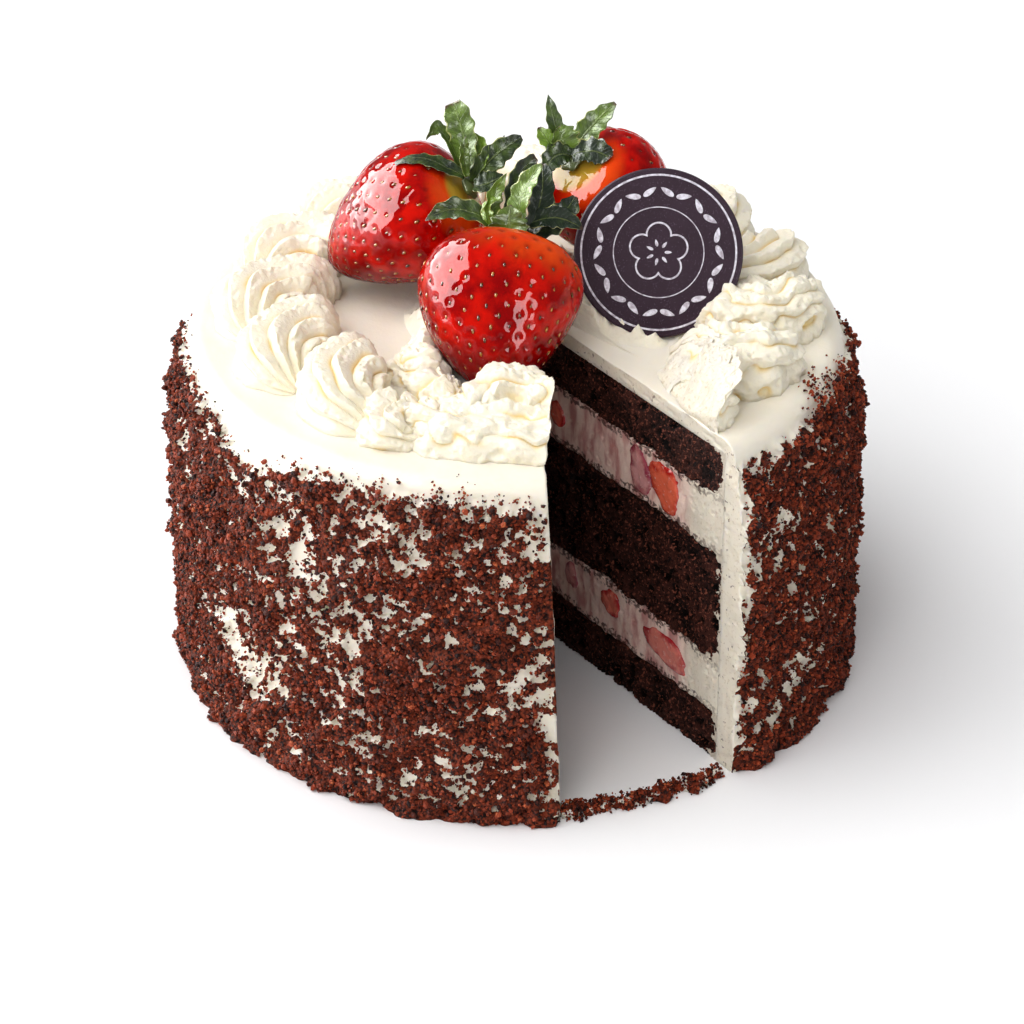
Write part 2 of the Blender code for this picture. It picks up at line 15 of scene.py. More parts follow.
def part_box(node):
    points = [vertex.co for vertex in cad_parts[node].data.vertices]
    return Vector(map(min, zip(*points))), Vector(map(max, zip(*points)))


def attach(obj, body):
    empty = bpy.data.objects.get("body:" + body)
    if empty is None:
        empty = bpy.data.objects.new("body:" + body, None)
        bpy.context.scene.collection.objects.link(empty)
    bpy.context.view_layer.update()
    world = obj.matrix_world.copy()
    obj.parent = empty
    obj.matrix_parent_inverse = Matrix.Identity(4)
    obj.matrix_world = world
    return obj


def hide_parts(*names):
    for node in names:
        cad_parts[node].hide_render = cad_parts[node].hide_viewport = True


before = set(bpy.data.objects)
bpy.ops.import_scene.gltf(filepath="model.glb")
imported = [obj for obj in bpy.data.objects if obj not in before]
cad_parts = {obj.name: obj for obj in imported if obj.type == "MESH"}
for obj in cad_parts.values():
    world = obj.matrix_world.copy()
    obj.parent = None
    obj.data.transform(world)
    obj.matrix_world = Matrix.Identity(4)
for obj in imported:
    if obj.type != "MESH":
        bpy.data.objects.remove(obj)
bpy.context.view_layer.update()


# ------------------------------------------------------------------------------------------
# Sponge. Three rounds of dark cocoa sponge, stacked with cream between them. The knife tore
# the two faces of the cut, so they are open crumb: lumps with pores and hollows between. The
# shade in the pores and hollows and the highlights on the lumps are painted into its colour.

MM = 0.001
CAKE_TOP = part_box("frosting")[1][2] / MM
LAYER_RADIUS = 85.2
LEVELS = (0.0, 15.0, 31.5, 65.0, 82.5, 96.4)    # borders between the layers, from the base up
WAVE_GAP, TEAR_GAP = 218.4, 50.0                # how far apart two borders read their noises
RIGHT_CUT, LEFT_CUT = math.radians(35.2), math.radians(4.2)   # headings, from -Y towards +X
SWEEP = LEFT_CUT + 2 * math.pi - RIGHT_CUT
APEX_TOP = np.array((1.0, 10.5))                # where the cuts meet on top of the cake
APEX_SLIDE = 6.8                                # and how far that place moves at the base
FACE_STEP = 0.5                                 # spacing of the points on a torn face
WALL_COLUMNS = 40                               # steps of the hidden wall that joins two faces
SEED_STEP = 7.31                                # how far apart two seeds read the same noise


def heading(angle):
    return np.stack((np.sin(angle), -np.cos(angle)), -1)


def from_apex(angle, height, radius, share=1.0):
    """Points on the way from the line where the cuts meet to a circle round the cake."""
    angle, height, radius, share = np.broadcast_arrays(angle, height, radius, share)
    slide = APEX_SLIDE * (1 - height / CAKE_TOP)
    start = APEX_TOP + heading(RIGHT_CUT) * slide[..., None]
    way = heading(angle)
    along = (start * way).sum(-1)
    reach = np.sqrt(along ** 2 - (start ** 2).sum(-1) + radius ** 2) - along
    flat = start + way * (reach * share)[..., None]
    return np.concatenate((flat, height[..., None]), -1)


def unit(vectors):
    """The same ways, with a length of 1."""
    return vectors / np.maximum(np.linalg.norm(vectors, axis=-1, keepdims=True), 1e-9)


def into_slot(angle):
    """The way that the face of a cut looks."""
    base, top = from_apex(angle, np.array((0.0, CAKE_TOP)), LAYER_RADIUS, 0.0)
    return unit(np.cross((*heading(angle), 0.0), top - base)) * (1 if angle == RIGHT_CUT else -1)


def sampled(read, points, size, seed):
    """What read() gives at each point, in noise with lumps about as large as size."""
    places = np.asarray(points, dtype=float) / size + seed * SEED_STEP
    values = [read(place) for place in places.reshape(-1, 3).tolist()]
    return np.array(values).reshape(*places.shape[:-1], -1)


def soft_noise(points, size, seed=0.0):
    """Smooth noise from -1 to 1."""
    return sampled(noise.noise, points, size, seed)[..., 0]


def rough(points, *layers):
    """A sum of soft noises, each given as its height, the size of its lumps and its seed."""
    return sum(height * soft_noise(points, size, seed) for height, size, seed in layers)


def cells(points, size, seed=0.0):
    """Distances to the nearest and the second nearest of a cloud of points, size apart."""
    return np.moveaxis(sampled(lambda place: noise.voronoi(place)[0][:2], points, size, seed), -1, 0)


def ease(value, low, high):
    """0 below low, 1 above high, with a smooth step between."""
    share = np.clip((value - low) / (high - low), 0.0, 1.0)
    return share * share * (3 - 2 * share)


def quads(index, closed=False):
    """The faces of a grid of point numbers; a closed grid joins its last row to its first."""
    after = np.roll(index, -1, axis=0) if closed else index[1:]
    here = index if closed else index[:-1]
    corners = (here[:, :-1], after[:, :-1], after[:, 1:], here[:, 1:])
    return np.stack(corners, -1).reshape(-1, 4).tolist()


def fan(tip, row, closed=False):
    """Three-sided faces from one point to a row of others."""
    return [(tip, *pair) for pair in zip(row, np.roll(row, -1) if closed else row[1:])]


class Body:
    """Points in millimetres, faces, and notes for the finish to read, gathered for one piece."""

    def __init__(self):
        self.points, self.faces, self.notes, self.total = [], [], {}, 0

    def add(self, points, **notes):
        """Keep a grid of points and what each note says of them, and return their numbers."""
        shape = points.shape[:-1]
        index = self.total + np.arange(math.prod(shape)).reshape(shape)
        self.total += index.size
        self.points.append(points.reshape(-1, 3))
        for name, values in notes.items():
            self.notes.setdefault(name, []).append(np.broadcast_to(values, shape).ravel())
        return index

    def piece(self, name, finish, smooth=True):
        """The object, without points that no face uses and with its faces turned outwards."""
        mesh = bpy.data.meshes.new(name)
        faces = [[int(corner) for corner in face] for face in self.faces]
        mesh.from_pydata(np.concatenate(self.points) * MM, [], faces)
        for title, values in self.notes.items():
            layer = mesh.attributes.new(title, "FLOAT", "POINT")
            layer.data.foreach_set("value", np.concatenate(values).astype(np.float32))
        work = bmesh.new()
        work.from_mesh(mesh)
        unused = [corner for corner in work.verts if not corner.link_faces]
        bmesh.ops.delete(work, geom=unused, context="VERTS")
        bmesh.ops.recalc_face_normals(work, faces=work.faces)
        work.to_mesh(mesh)
        work.free()
        mesh.polygons.foreach_set("use_smooth", [smooth] * len(mesh.polygons))
        mesh.materials.append(finish.material)
        piece = bpy.data.objects.new(name, mesh)
        bpy.context.scene.collection.objects.link(piece)
        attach(piece, "root")
        return piece


class Wire:
    """An output of one of a material's nodes; sums with it add Math nodes."""

    def __init__(self, finish, socket):
        self.finish, self.socket = finish, socket

    def __add__(self, other):
        return self.finish.maths("ADD", self, other)

    def __sub__(self, other):
        return self.finish.maths("SUBTRACT", self, other)

    def __rsub__(self, other):
        return self.finish.maths("SUBTRACT", other, self)

    def __mul__(self, other):
        return self.finish.maths("MULTIPLY", self, other)

    __radd__, __rmul__ = __add__, __mul__

    def ease(self, low, high):
        """0 below low, 1 above high, with a smooth step between; low may be over high."""
        return self.finish.node("MapRange", {"interpolation_type": "SMOOTHSTEP"},
                                {"Value": self, "From Min": low, "From Max": high})


class Finish:
    """A material: node() adds any node, and feed() links what was worked out to its shader."""

    def __init__(self, name, **settings):
        self.material = bpy.data.materials.new(name)
        self.material.use_nodes = True
        self.shader = self.material.node_tree.nodes["Principled BSDF"]
        for socket, value in settings.items():
            self.shader.inputs[socket.replace("_", " ")].default_value = value
        place = self.node("TexCoord", output="Object")
        self.place = self.node("VectorMath", {"operation": "SCALE"},
                               {"Vector": place, "Scale": 1 / MM})

    def node(self, kind, settings=(), inputs=(), output=0):
        node = self.material.node_tree.nodes.new("ShaderNode" + kind)
        for name, value in dict(settings).items():
            setattr(node, name, value)
        for name, value in dict(inputs).items():
            if isinstance(value, Wire):
                self.material.node_tree.links.new(value.socket, node.inputs[name])
            else:
                node.inputs[name].default_value = value
        return Wire(self, node.outputs[output])

    def maths(self, operation, *terms):
        return self.node("Math", {"operation": operation}, dict(enumerate(terms)))

    def noted(self, name):
        return self.node("Attribute", {"attribute_name": name}, output="Fac")

    def noise(self, size, detail=2.0, place=None):
        return self.node("TexNoise", {}, {"Vector": place or self.place, "Scale": 1 / size,
                                          "Detail": detail})

    def cells(self, size):
        return self.node("TexVoronoi", {}, {"Vector": self.place, "Scale": 1 / size})

    def stretched(self, x, y, z):
        return self.node("VectorMath", {"operation": "MULTIPLY"},
                         {0: self.place, 1: (x, y, z)})

    def blend(self, share, first, second):
        return self.node("Mix", {"data_type": "RGBA"}, {0: share, 6: first, 7: second}, 2)

    def relief(self, height, depth):
        """Bumps on the surface, depth millimetres high."""
        bump = self.node("Bump", {}, {"Height": height, "Distance": depth * MM}, "Normal")
        self.feed("Normal", bump)

    def paint(self, share, first, second):
        """Give the surface its colour, blended as in blend()."""
        self.feed("Base Color", self.blend(share, first, second))

    def feed(self, socket, wire):
        self.material.node_tree.links.new(wire.socket, self.shader.inputs[socket])


def tint(red, green, blue):
    """A colour given as on a screen, 0 to 255, as the linear colour that shaders take."""
    linear = [((part / 255 + 0.055) / 1.055) ** 2.4 if part > 10 else part / 255 / 12.92
              for part in (red, green, blue)]
    return (*linear, 1.0)


def border(level, angle, share):
    """Height of the border over a layer, wavy and torn a little."""
    height = LEVELS[level + 1]
    flat = from_apex(angle, height, LAYER_RADIUS, share)
    if not 0 <= level < len(LEVELS) - 2:
        return np.full(flat.shape[:-1], height)
    flat[..., 2] = 0.0
    wave = soft_noise(flat + (0, 0, WAVE_GAP * level), 24)
    tear = soft_noise(flat + (0, 0, TEAR_GAP * level), 3.4)
    return height + 1.1 * wave + 0.9 * tear


def torn_layer(name, level, relief, finish):
    """One layer: a dense face at each cut, joined by coarse sides that other pieces hide."""
    shares = np.linspace(0, 1, round(LAYER_RADIUS / FACE_STEP) + 1)[:, None]
    rises = np.linspace(0, 1, round((LEVELS[level + 1] - LEVELS[level]) / FACE_STEP) + 1)
    body, grids = Body(), []
    for angle in (RIGHT_CUT, LEFT_CUT):
        low, high = border(level - 1, angle, shares), border(level, angle, shares)
        height = low + (high - low) * rises
        points = from_apex(angle, height, LAYER_RADIUS, shares)
        depth = relief(points) * ease(shares * LAYER_RADIUS, 0, 3) \
            * ease((1 - shares) * LAYER_RADIUS, 0, 2)
        points += into_slot(angle) * depth[..., None]
        grids.append(body.add(points, depth=depth, edge=np.minimum(height - low, high - height),
                              reach=shares * LAYER_RADIUS))
    right, left = grids
    left[0] = right[0]
    body.faces += quads(right) + quads(left)

    turns = RIGHT_CUT + SWEEP * np.arange(1, WALL_COLUMNS) / WALL_COLUMNS
    low, high = [body.add(from_apex(turns, border(side, turns, 1.0), LAYER_RADIUS),
                          depth=0.0, edge=0.0, reach=0.0) for side in (level - 1, level)]
    body.faces += quads(np.stack((low, high), -1))
    body.faces += fan(right[0, 0], low) + fan(right[0, -1], high)
    for grid, column in ((right, 0), (left, -1)):
        body.faces += [(*grid[:, 0], low[column]), (*grid[:, -1], high[column]),
                       (*grid[-1], high[column], low[column])]
    return body.piece(name, finish)


def sponge_relief(points):
    near, second = cells(points, 1.5, 1)
    lumps = np.sqrt(np.clip(1.8 * (second - near), 0, 1))
    pores = ease(soft_noise(points, 3.6, 2), 0.22, 0.5)
    return 0.9 * (lumps - 0.8) - 1.3 * pores + rough(points, (0.7, 7, 3))


sponge = Finish("chocolate_sponge", Roughness=0.88, Specular_IOR_Level=0.2)
crumb = sponge.noise(0.7, 3)
# painted shade: the sponge darkens where its torn face sinks into hollows, mixed with its grain
painted_light_and_grain = (sponge.noted("depth") + 0.9 * crumb).ease(-0.55, 0.95)
brown = sponge.blend(painted_light_and_grain, tint(9, 4, 3), tint(78, 42, 34))
painted_crumb_highlight, painted_pore_shade = sponge.noise(0.9, 2).ease(0.56, 0.66), sponge.noise(1.5, 3).ease(0.44, 0.36)
# painted highlight: pale reddish specks stand for light caught on the crumb lumps
speckled = sponge.blend(painted_crumb_highlight * 0.8, brown, tint(150, 88, 70))
# painted shade: near-black specks stand for the shade inside the sponge's pores
pore_shaded = sponge.blend(painted_pore_shade * 0.9, speckled, tint(8, 3, 3))
ragged = sponge.noted("reach") + 10 * sponge.noise(2.2, 3) + 3 * sponge.noted("edge").ease(4, 0)
coated = ragged.ease(89.0, 89.4)      # where the face of the sponge gives way to the cream wall
sponge.paint(coated, pore_shaded, tint(226, 216, 200))
sponge.relief(crumb + 0.5 * sponge.noise(0.35, 2), 0.5)

for level, node in enumerate(("sponge_bottom", None, "sponge_middle", None, "sponge_top")):
    if node:
        piece = torn_layer("torn_" + node, level, sponge_relief, sponge)
        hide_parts(node)


# ------------------------------------------------------------------------------------------
# Filling. Whipped cream with chopped strawberry, spread thick between the sponges. The knife
# dragged juice and crumbs down over its faces; near the rim it is the clean cream of the wall.


def cream_relief(points):
    near, _ = cells(points, 2.6, 5)
    return rough(points, (0.5, 8, 6), (0.22, 1.8, 7)) - 0.55 * ease(0.30 - near, 0.0, 0.16)


filling = Finish("strawberry_cream", Roughness=0.5, Specular_IOR_Level=0.3, Subsurface_Weight=0.15,
                 Subsurface_Scale=0.002, Subsurface_Radius=(1.0, 0.6, 0.35))
reach, edge = filling.noted("reach"), filling.noted("edge")
streak = filling.noise(3.2, 3, filling.stretched(1.0, 1.0, 0.28))
pink = filling.blend(streak.ease(0.42, 0.66), tint(238, 214, 202), tint(200, 148, 142))
# painted shade: darker specks stand for the shade inside the cream's bubbles
painted_bubble_shade = filling.noise(0.9, 3).ease(0.56, 0.70) * 0.45
clean = filling.blend(painted_bubble_shade, tint(232, 224, 208), tint(192, 176, 152))
spread = filling.blend((reach + 9 * streak).ease(72, 79), pink, clean)
smear = (filling.noise(2.2, 4) * 4.6 - edge).ease(0.2, 1.0)
dirt = smear * filling.noise(1.1, 3).ease(0.42, 0.56) * (1.0 - 0.5 * reach.ease(74, 80))
filling.paint(dirt * 0.85, spread, tint(72, 44, 38))
filling.relief(filling.noise(0.8, 3), 0.3)

for level, node in ((1, "filling_lower"), (3, "filling_upper")):
    piece = torn_layer("cut_" + node, level, cream_relief, filling)
    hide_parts(node)


# ------------------------------------------------------------------------------------------
# Strawberry pieces. Chopped berries that the knife went through with the cake: wet flesh,
# pale in the middle and red under the skin, flush with the torn cream round them.

# Node, cut, place along its face, height, half width, half height, tilt in degrees, ripeness.
FRUIT = (("fruit_right_1", RIGHT_CUT, 10.8, 73.4, 3.4, 3.6, 10, 0.9),
         ("fruit_right_2", RIGHT_CUT, 48.6, 73.8, 4.8, 6.8, 14, 0.15),
         ("fruit_right_3", RIGHT_CUT, 59.6, 74.2, 6.0, 7.6, 14, 1.0),
         ("fruit_right_4", RIGHT_CUT, 18.0, 25.2, 3.2, 3.8, 15, 0.2),
         ("fruit_right_5", RIGHT_CUT, 36.6, 25.4, 4.8, 3.8, -20, 0.8),
         ("fruit_right_6", RIGHT_CUT, 61.5, 23.4, 10.8, 4.2, -12, 0.65),
         ("fruit_left_1", LEFT_CUT, 30.0, 73.6, 7.0, 5.2, 12, 0.8),
         ("fruit_left_2", LEFT_CUT, 62.0, 73.4, 5.6, 5.6, -8, 0.9),
         ("fruit_left_3", LEFT_CUT, 22.0, 23.6, 5.0, 4.6, -10, 0.4),
         ("fruit_left_4", LEFT_CUT, 66.0, 23.4, 8.6, 4.6, 6, 0.9))
# Height over the face of the cut and size, of the rings from the middle of the cut flesh, over
# its rim and back to the far end of the piece.
FLESH_RINGS = ((0.55, 0.15), (0.6, 0.4), (0.55, 0.65), (0.45, 0.85), (0.2, 0.97),
               (-0.5, 1.03), (-2.0, 1.0), (-4.6, 0.8), (-6.2, 0.45), (-6.8, 0.1))


def round_angles(count):
    """So many angles, spread over a full turn."""
    return np.linspace(0, 2 * np.pi, count, endpoint=False)


def fruit_piece(name, angle, along, height, half_width, half_height, tilt, ripe, finish):
    out = into_slot(angle)
    way = np.array((*heading(angle), 0.0))
    upright = np.cross(out, way) * (1 if angle == RIGHT_CUT else -1)
    upright = upright / upright[2]
    base = from_apex(angle, np.array(0.0), LAYER_RADIUS, 0.0)
    origin = base - way * (base * way).sum() + way * along + upright * height
    turn = round_angles(36)
    lumpy = 1 + 0.10 * np.sin(2 * turn + along) + 0.08 * np.sin(3 * turn + 2 * along) \
        + 0.04 * np.sin(7 * turn + along)
    lean = math.radians(tilt)
    depth, size = np.array(FLESH_RINGS).T[..., None]
    across = half_width * lumpy * size * np.cos(turn)
    rise = half_height * lumpy * size * np.sin(turn)
    sideways = across * math.cos(lean) - rise * math.sin(lean)
    upwards = across * math.sin(lean) + rise * math.cos(lean)
    rings = origin + way * sideways[..., None] + upright * upwards[..., None]
    grainy = rough(rings, (0.3, 1.6, 11)) * (depth > 0)
    rings = rings + out * (depth + grainy)[..., None]
    body = Body()
    index = body.add(rings, core=np.where(depth > 0, size, 1.2), ripe=ripe).T
    body.faces += quads(index, closed=True) + [index[:, 0], index[:, -1]]
    return body.piece("cut_" + name, finish)


flesh = Finish("cut_strawberry", Roughness=0.22, Coat_Weight=0.6, Coat_Roughness=0.08,
               Subsurface_Weight=0.25, Subsurface_Scale=0.002,
               Subsurface_Radius=(1.0, 0.25, 0.15))
ripe, vein = flesh.noted("ripe"), flesh.noise(1.1, 3)
inside = flesh.blend(ripe, tint(206, 160, 160), tint(226, 112, 84))
rim = flesh.blend(ripe, tint(138, 58, 78), tint(176, 22, 20))
ring = flesh.noted("core") + 1.6 * (flesh.noise(3.4, 3) - 0.5)
coloured = flesh.blend(ring.ease(0.55, 1.15), inside, rim)
flesh.paint(vein.ease(0.6, 0.72) * 0.5, coloured, tint(228, 196, 186))
flesh.relief(vein, 0.35)

for row in FRUIT:
    piece = fruit_piece(*row, flesh)
    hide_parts(row[0])


# ------------------------------------------------------------------------------------------
# Cream wall and top. Whipped cream spread over the stack with a palette knife, 7 mm thick on
# the side and 5 mm on top, and rounded over the edge. Its side carries the bed of crumbs.

COLUMNS = 900                         # steps round the wall, up its side and in over its top
SIDE_ROWS, SIDE_TOP = 150, CAKE_TOP - 6.0
TOP_RINGS, LIP_STEPS = 64, 8
CUT_STEPS = 12                        # steps through the cream where the knife went through it
CREAM_RADIUS = 92.2
LIP = 5.2                             # radius of the rounded edge
SEAM = 0.1                            # how far the cream overlaps the layers that it covers
COAT_MIDDLE, COAT_REACH = 91.0, 97.6  # radius at which noise is read, and largest radius
# Heading in degrees and height of the line that the crumbs reach.
CRUMB_LINE = ((-75, 98), (-58, 98), (-49, 92), (-46, 90), (-37, 94), (-29, 98), (-20, 98.5),
              (-14, 97), (-9, 98), (5, 96), (39, 94), (48, 94), (52, 97), (59, 101), (67, 98),
              (90, 90), (110, 88), (150, 92), (190, 94), (230, 91), (262, 89))
# Heading, height, width in degrees and height of the places where few crumbs stuck.
BARE = ((-53, 40, 6, 10), (-49, 25, 5, 7), (-21, 88, 3, 4), (-13.6, 79, 3.5, 3),
        (-26, 22, 3, 4), (2.8, 34, 1.6, 24), (48.5, 20, 4.5, 6), (35.6, 50, 0.8, 70),
        (115, 60, 5, 9), (205, 35, 6, 8))


def cream_radius(height):
    """Outer radius of the cream, which bellies a little and narrows to its foot and its top."""
    belly = np.sin(np.pi / 2 * np.minimum(height / 42, 1.0))
    return CREAM_RADIUS + 0.6 * belly - 3.6 * ease(height, 76, CAKE_TOP)


def coat_place(angle, height):
    return np.concatenate((heading(angle) * COAT_MIDDLE, height[..., None]), -1)


def crumb_cover(angle, height):
    """How thick the crumbs lie: bare cream below 0, and a full coat above about a half."""
    place, degrees = coat_place(angle, height), np.degrees(angle)
    cover = 0.57 + 0.5 * np.exp(-(height / 6) ** 2) \
        + rough(place, (0.36, 26, 1), (0.34, 9, 2), (0.75, 3.2, 3), (0.75, 1.6, 4))
    for middle, level, wide, tall in BARE:
        apart = (degrees - middle + 180) % 360 - 180
        cover = cover - 0.5 * np.exp(-(apart / wide) ** 2 - ((height - level) / tall) ** 2)
    line = np.interp(degrees, *np.array(CRUMB_LINE).T, period=360)
    return cover - 1.7 * ease(height, line - 3, line + 7)


def bed_height(angle, height, cover):
    """How far the bed of crumbs stands out, in larger clumps towards the foot."""
    place = coat_place(angle, height)
    lumpy = 2.6 + 1.4 * np.exp(-(height / 25) ** 2)
    clumps = 2.0 + rough(place, (lumpy, 10, 4), (1.9, 3.6, 5), (0.8, 1.6, 6))
    skirt = 0.8 * np.exp(-(height / 5) ** 2)
    return ease(cover, 0.1, 0.55) * np.clip(clumps + skirt, 0.3, 4.6)


def cream_body(finish):
    """The wall and top as one shell, with its inside against the layers and its two cut faces."""
    turns = RIGHT_CUT + SWEEP * np.arange(COLUMNS + 1) / COLUMNS
    heights = np.linspace(0, SIDE_TOP, SIDE_ROWS + 1)
    angle, height = np.meshgrid(turns, heights, indexing="ij")
    cover = crumb_cover(angle, height)
    bed = bed_height(angle, height, cover)
    spatula = rough(from_apex(angle, height * 3, COAT_MIDDLE), (0.35, 30, 8))
    side = from_apex(angle, height, np.minimum(cream_radius(height) + spatula + bed, COAT_REACH))

    lip = cream_radius(CAKE_TOP)
    bend = np.linspace(0, 1, LIP_STEPS + 1)[1:]
    inset, drop = LIP * (1 - np.cos(np.pi / 2 * bend)), LIP * (1 - np.sin(np.pi / 2 * bend))
    over = from_apex(turns[:, None], CAKE_TOP - drop, lip - inset)
    shares = np.linspace(1, 0, TOP_RINGS + 1)[1:]
    flat = from_apex(turns[:, None], np.full(len(shares), CAKE_TOP), lip - LIP, shares)
    outer = np.concatenate((side, over, flat), 1)
    corner = SIDE_ROWS + 1
    crown = outer[:, corner:]
    inside = ease(np.linalg.norm(crown[..., :2] - APEX_TOP, axis=-1), 0, 6)
    crown[..., 2] += inside * rough(crown, (0.35, 26, 9), (0.12, 7, 10))

    body = Body()
    rows = outer.shape[1]
    coat = np.zeros(outer.shape[:2])
    coat[:, :corner] = ease(cover, 0.15, 0.6)
    number = body.add(outer, coat=coat, cut=0.0)
    number[1:, -1] = number[0, -1]
    body.faces += quads(number)
    under, inner_radius = LEVELS[-1] - SEAM, LAYER_RADIUS - SEAM
    inner = from_apex(turns, np.array(((0.0,), (under,))), inner_radius)
    base, top = body.add(inner, coat=0.0, cut=0.0)
    apex = body.add(from_apex(0.0, np.array([under]), inner_radius, 0.0), coat=0.0, cut=0.0)[0]
    body.faces += quads(np.stack((number[:, 0], base, top), -1)[1:-1]) + fan(apex, top[1:-1])

    for column, beside in ((0, 1), (COLUMNS, COLUMNS - 1)):
        rim = outer[column]
        turn = turns[column]
        wall = from_apex(turn, np.minimum(rim[:, 2], under), inner_radius)
        roof = from_apex(turn, np.full(rows, under), inner_radius,
                         np.concatenate((np.ones(rows - len(shares)), shares)))
        back = np.where((np.arange(rows) < corner)[:, None], wall, roof)
        back[0], back[corner] = inner[:, column]
        steps = np.linspace(0, 1, CUT_STEPS + 1)[:, None]
        grid = back[:, None] + (rim - back)[:, None] * steps
        middle = grid[1:-1, 1:-1]
        middle += into_slot(turn) * cream_relief(middle)[..., None]
        index = body.add(grid, coat=0.0, cut=1.0)
        index[:, -1] = number[column]
        index[0, 0], index[-1, 0] = base[column], apex
        body.faces += quads(index)
        body.faces += [(*index[:corner + 1, 0], top[beside], base[beside]),
                       (*index[corner:, 0], top[beside]),
                       (*index[0], number[beside, 0], base[beside])]
    return body.piece("cream_coat", finish)


cream = Finish("spread_cream", Specular_IOR_Level=0.2, Subsurface_Weight=0.25,
               Subsurface_Scale=0.003, Subsurface_Radius=(1.0, 0.75, 0.4))
white = cream.blend(cream.noise(14, 3), tint(243, 237, 224), tint(239, 231, 215))
fleck, grain = cream.noise(1.4, 3), cream.cells(1.0)
# painted shade: the cocoa bed darkens towards the edges of its grains, mixed with random flecks
painted_light_and_grain = (fleck + 0.7 * (0.5 - grain)).ease(0.2, 0.75)
cocoa = cream.blend(painted_light_and_grain, tint(26, 9, 7), tint(132, 58, 34))
cover = (cream.noted("coat") + 1.1 * (fleck - 0.5)).ease(0.46, 0.56)
# painted shade: darker specks on the cut face stand for the shade in the cream's pores
torn = cream.blend(cream.noise(0.9, 3).ease(0.56, 0.70) * 0.45, tint(235, 227, 211),
                   tint(196, 180, 154))
stuck = cream.noise(1.7, 3).ease(0.64, 0.68) * 0.6
sliced = cream.blend(cream.noted("cut"), white, cream.blend(stuck, torn, tint(96, 58, 46)))
cream.paint(cover, sliced, cocoa)
cream.feed("Roughness", 0.45 + 0.45 * cover)
cream.relief(cream.noise(0.8, 3) * 0.15 + 0.5 * cream.noise(5, 1) - 1.2 * grain * cover, 0.5)

piece = cream_body(cream)
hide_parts("frosting")


# ------------------------------------------------------------------------------------------
# Crumb coat. Cocoa sponge rubbed to crumbs and pressed by hand on to the fresh cream: clumps,
# single crumbs and dust, thick at the base, thin towards the top and beside the cuts.


def unit_shape(make, **settings):
    """Corners and three-sided faces of a shape with a radius of 1."""
    shape = bmesh.new()
    make(shape, radius=1.0, **settings)
    corners = np.array([corner.co for corner in shape.verts])
    sides = np.array([[corner.index for corner in face.verts] for face in shape.faces])
    shape.free()
    return corners, sides


BALL = unit_shape(bmesh.ops.create_icosphere, subdivisions=1)
DIAMOND = unit_shape(bmesh.ops.create_uvsphere, u_segments=4, v_segments=2)
CUT_MARGIN = 0.012                    # angle beside a cut where no loose crumb lies
TRIES = 6                             # places drawn for each crumb, as bare cream holds none
LOWEST = 0.05                         # height of the lowest points of crumbs over the table


def crumbs(name, count, small, large, thin, shape, seed, finish):
    """Scatter angular crumbs over the side; thin says how thin a coat they still lie in."""
    draw = np.random.default_rng(seed)
    tries = count * TRIES
    angle = draw.uniform(RIGHT_CUT + CUT_MARGIN, RIGHT_CUT + SWEEP - CUT_MARGIN, tries)
    height = draw.uniform(0.6, CAKE_TOP + 1, tries)
    cover = crumb_cover(angle, height)
    kept = np.flatnonzero(cover + thin > draw.uniform(0.08, 0.36, tries))[:count]
    angle, height, cover = angle[kept], height[kept], cover[kept]
    size = small + (large - small) * draw.random(len(kept)) ** 2
    lift = size * draw.uniform(0, 0.7, len(kept))
    out = cream_radius(height) + bed_height(angle, height, cover) + lift
    edge = np.clip(height - (CAKE_TOP - LIP), 0, LIP) / LIP
    out = np.minimum(out - LIP * (1 - np.sqrt(np.clip(1 - edge ** 2, 0, 1))), COAT_REACH)
    centre = from_apex(angle, np.maximum(height, size * 0.6), out)
    return crumb_pile(name, centre, size, shape, draw, finish)


def crumb_pile(name, centre, size, shape, draw, finish):
    """Crumbs of the given sizes, with flat sides, each pulled out of shape and turned."""
    corners, sides = shape
    count = len(centre)
    w, x, y, z = unit(draw.normal(size=(count, 4))).T
    spin = np.array(((1 - 2 * (y * y + z * z), 2 * (x * y - w * z), 2 * (x * z + w * y)),
                     (2 * (x * y + w * z), 1 - 2 * (x * x + z * z), 2 * (y * z - w * x)),
                     (2 * (x * z - w * y), 2 * (y * z + w * x), 1 - 2 * (x * x + y * y))))
    lumpy = corners * draw.uniform(0.62, 1.3, (count, len(corners), 1))
    lumpy *= draw.uniform(0.7, 1.2, (count, 1, 3))
    points = np.einsum("ijn,nkj->nki", spin, lumpy) * size[:, None, None] + centre[:, None]
    points[..., 2] = np.maximum(points[..., 2], LOWEST)
    body = Body()
    index = body.add(points, tone=draw.random(count)[:, None])
    body.faces += index[:, sides].reshape(-1, 3).tolist()
    return body.piece(name, finish, smooth=False)


cocoa_crumb = Finish("cocoa_crumb", Roughness=0.8, Specular_IOR_Level=0.25)
tone, grit = cocoa_crumb.noted("tone"), cocoa_crumb.noise(0.5, 3)
brown = cocoa_crumb.blend((tone + grit - 0.5).ease(0.0, 1.0), tint(32, 10, 9), tint(158, 66, 36))
# painted highlight: the palest few crumbs turn a light orange that stands for glints
pale = (tone + 0.8 * (grit - 0.5)).ease(0.93, 1.1)
cocoa_crumb.paint(pale, brown, tint(206, 118, 72))
cocoa_crumb.relief(grit, 0.4)

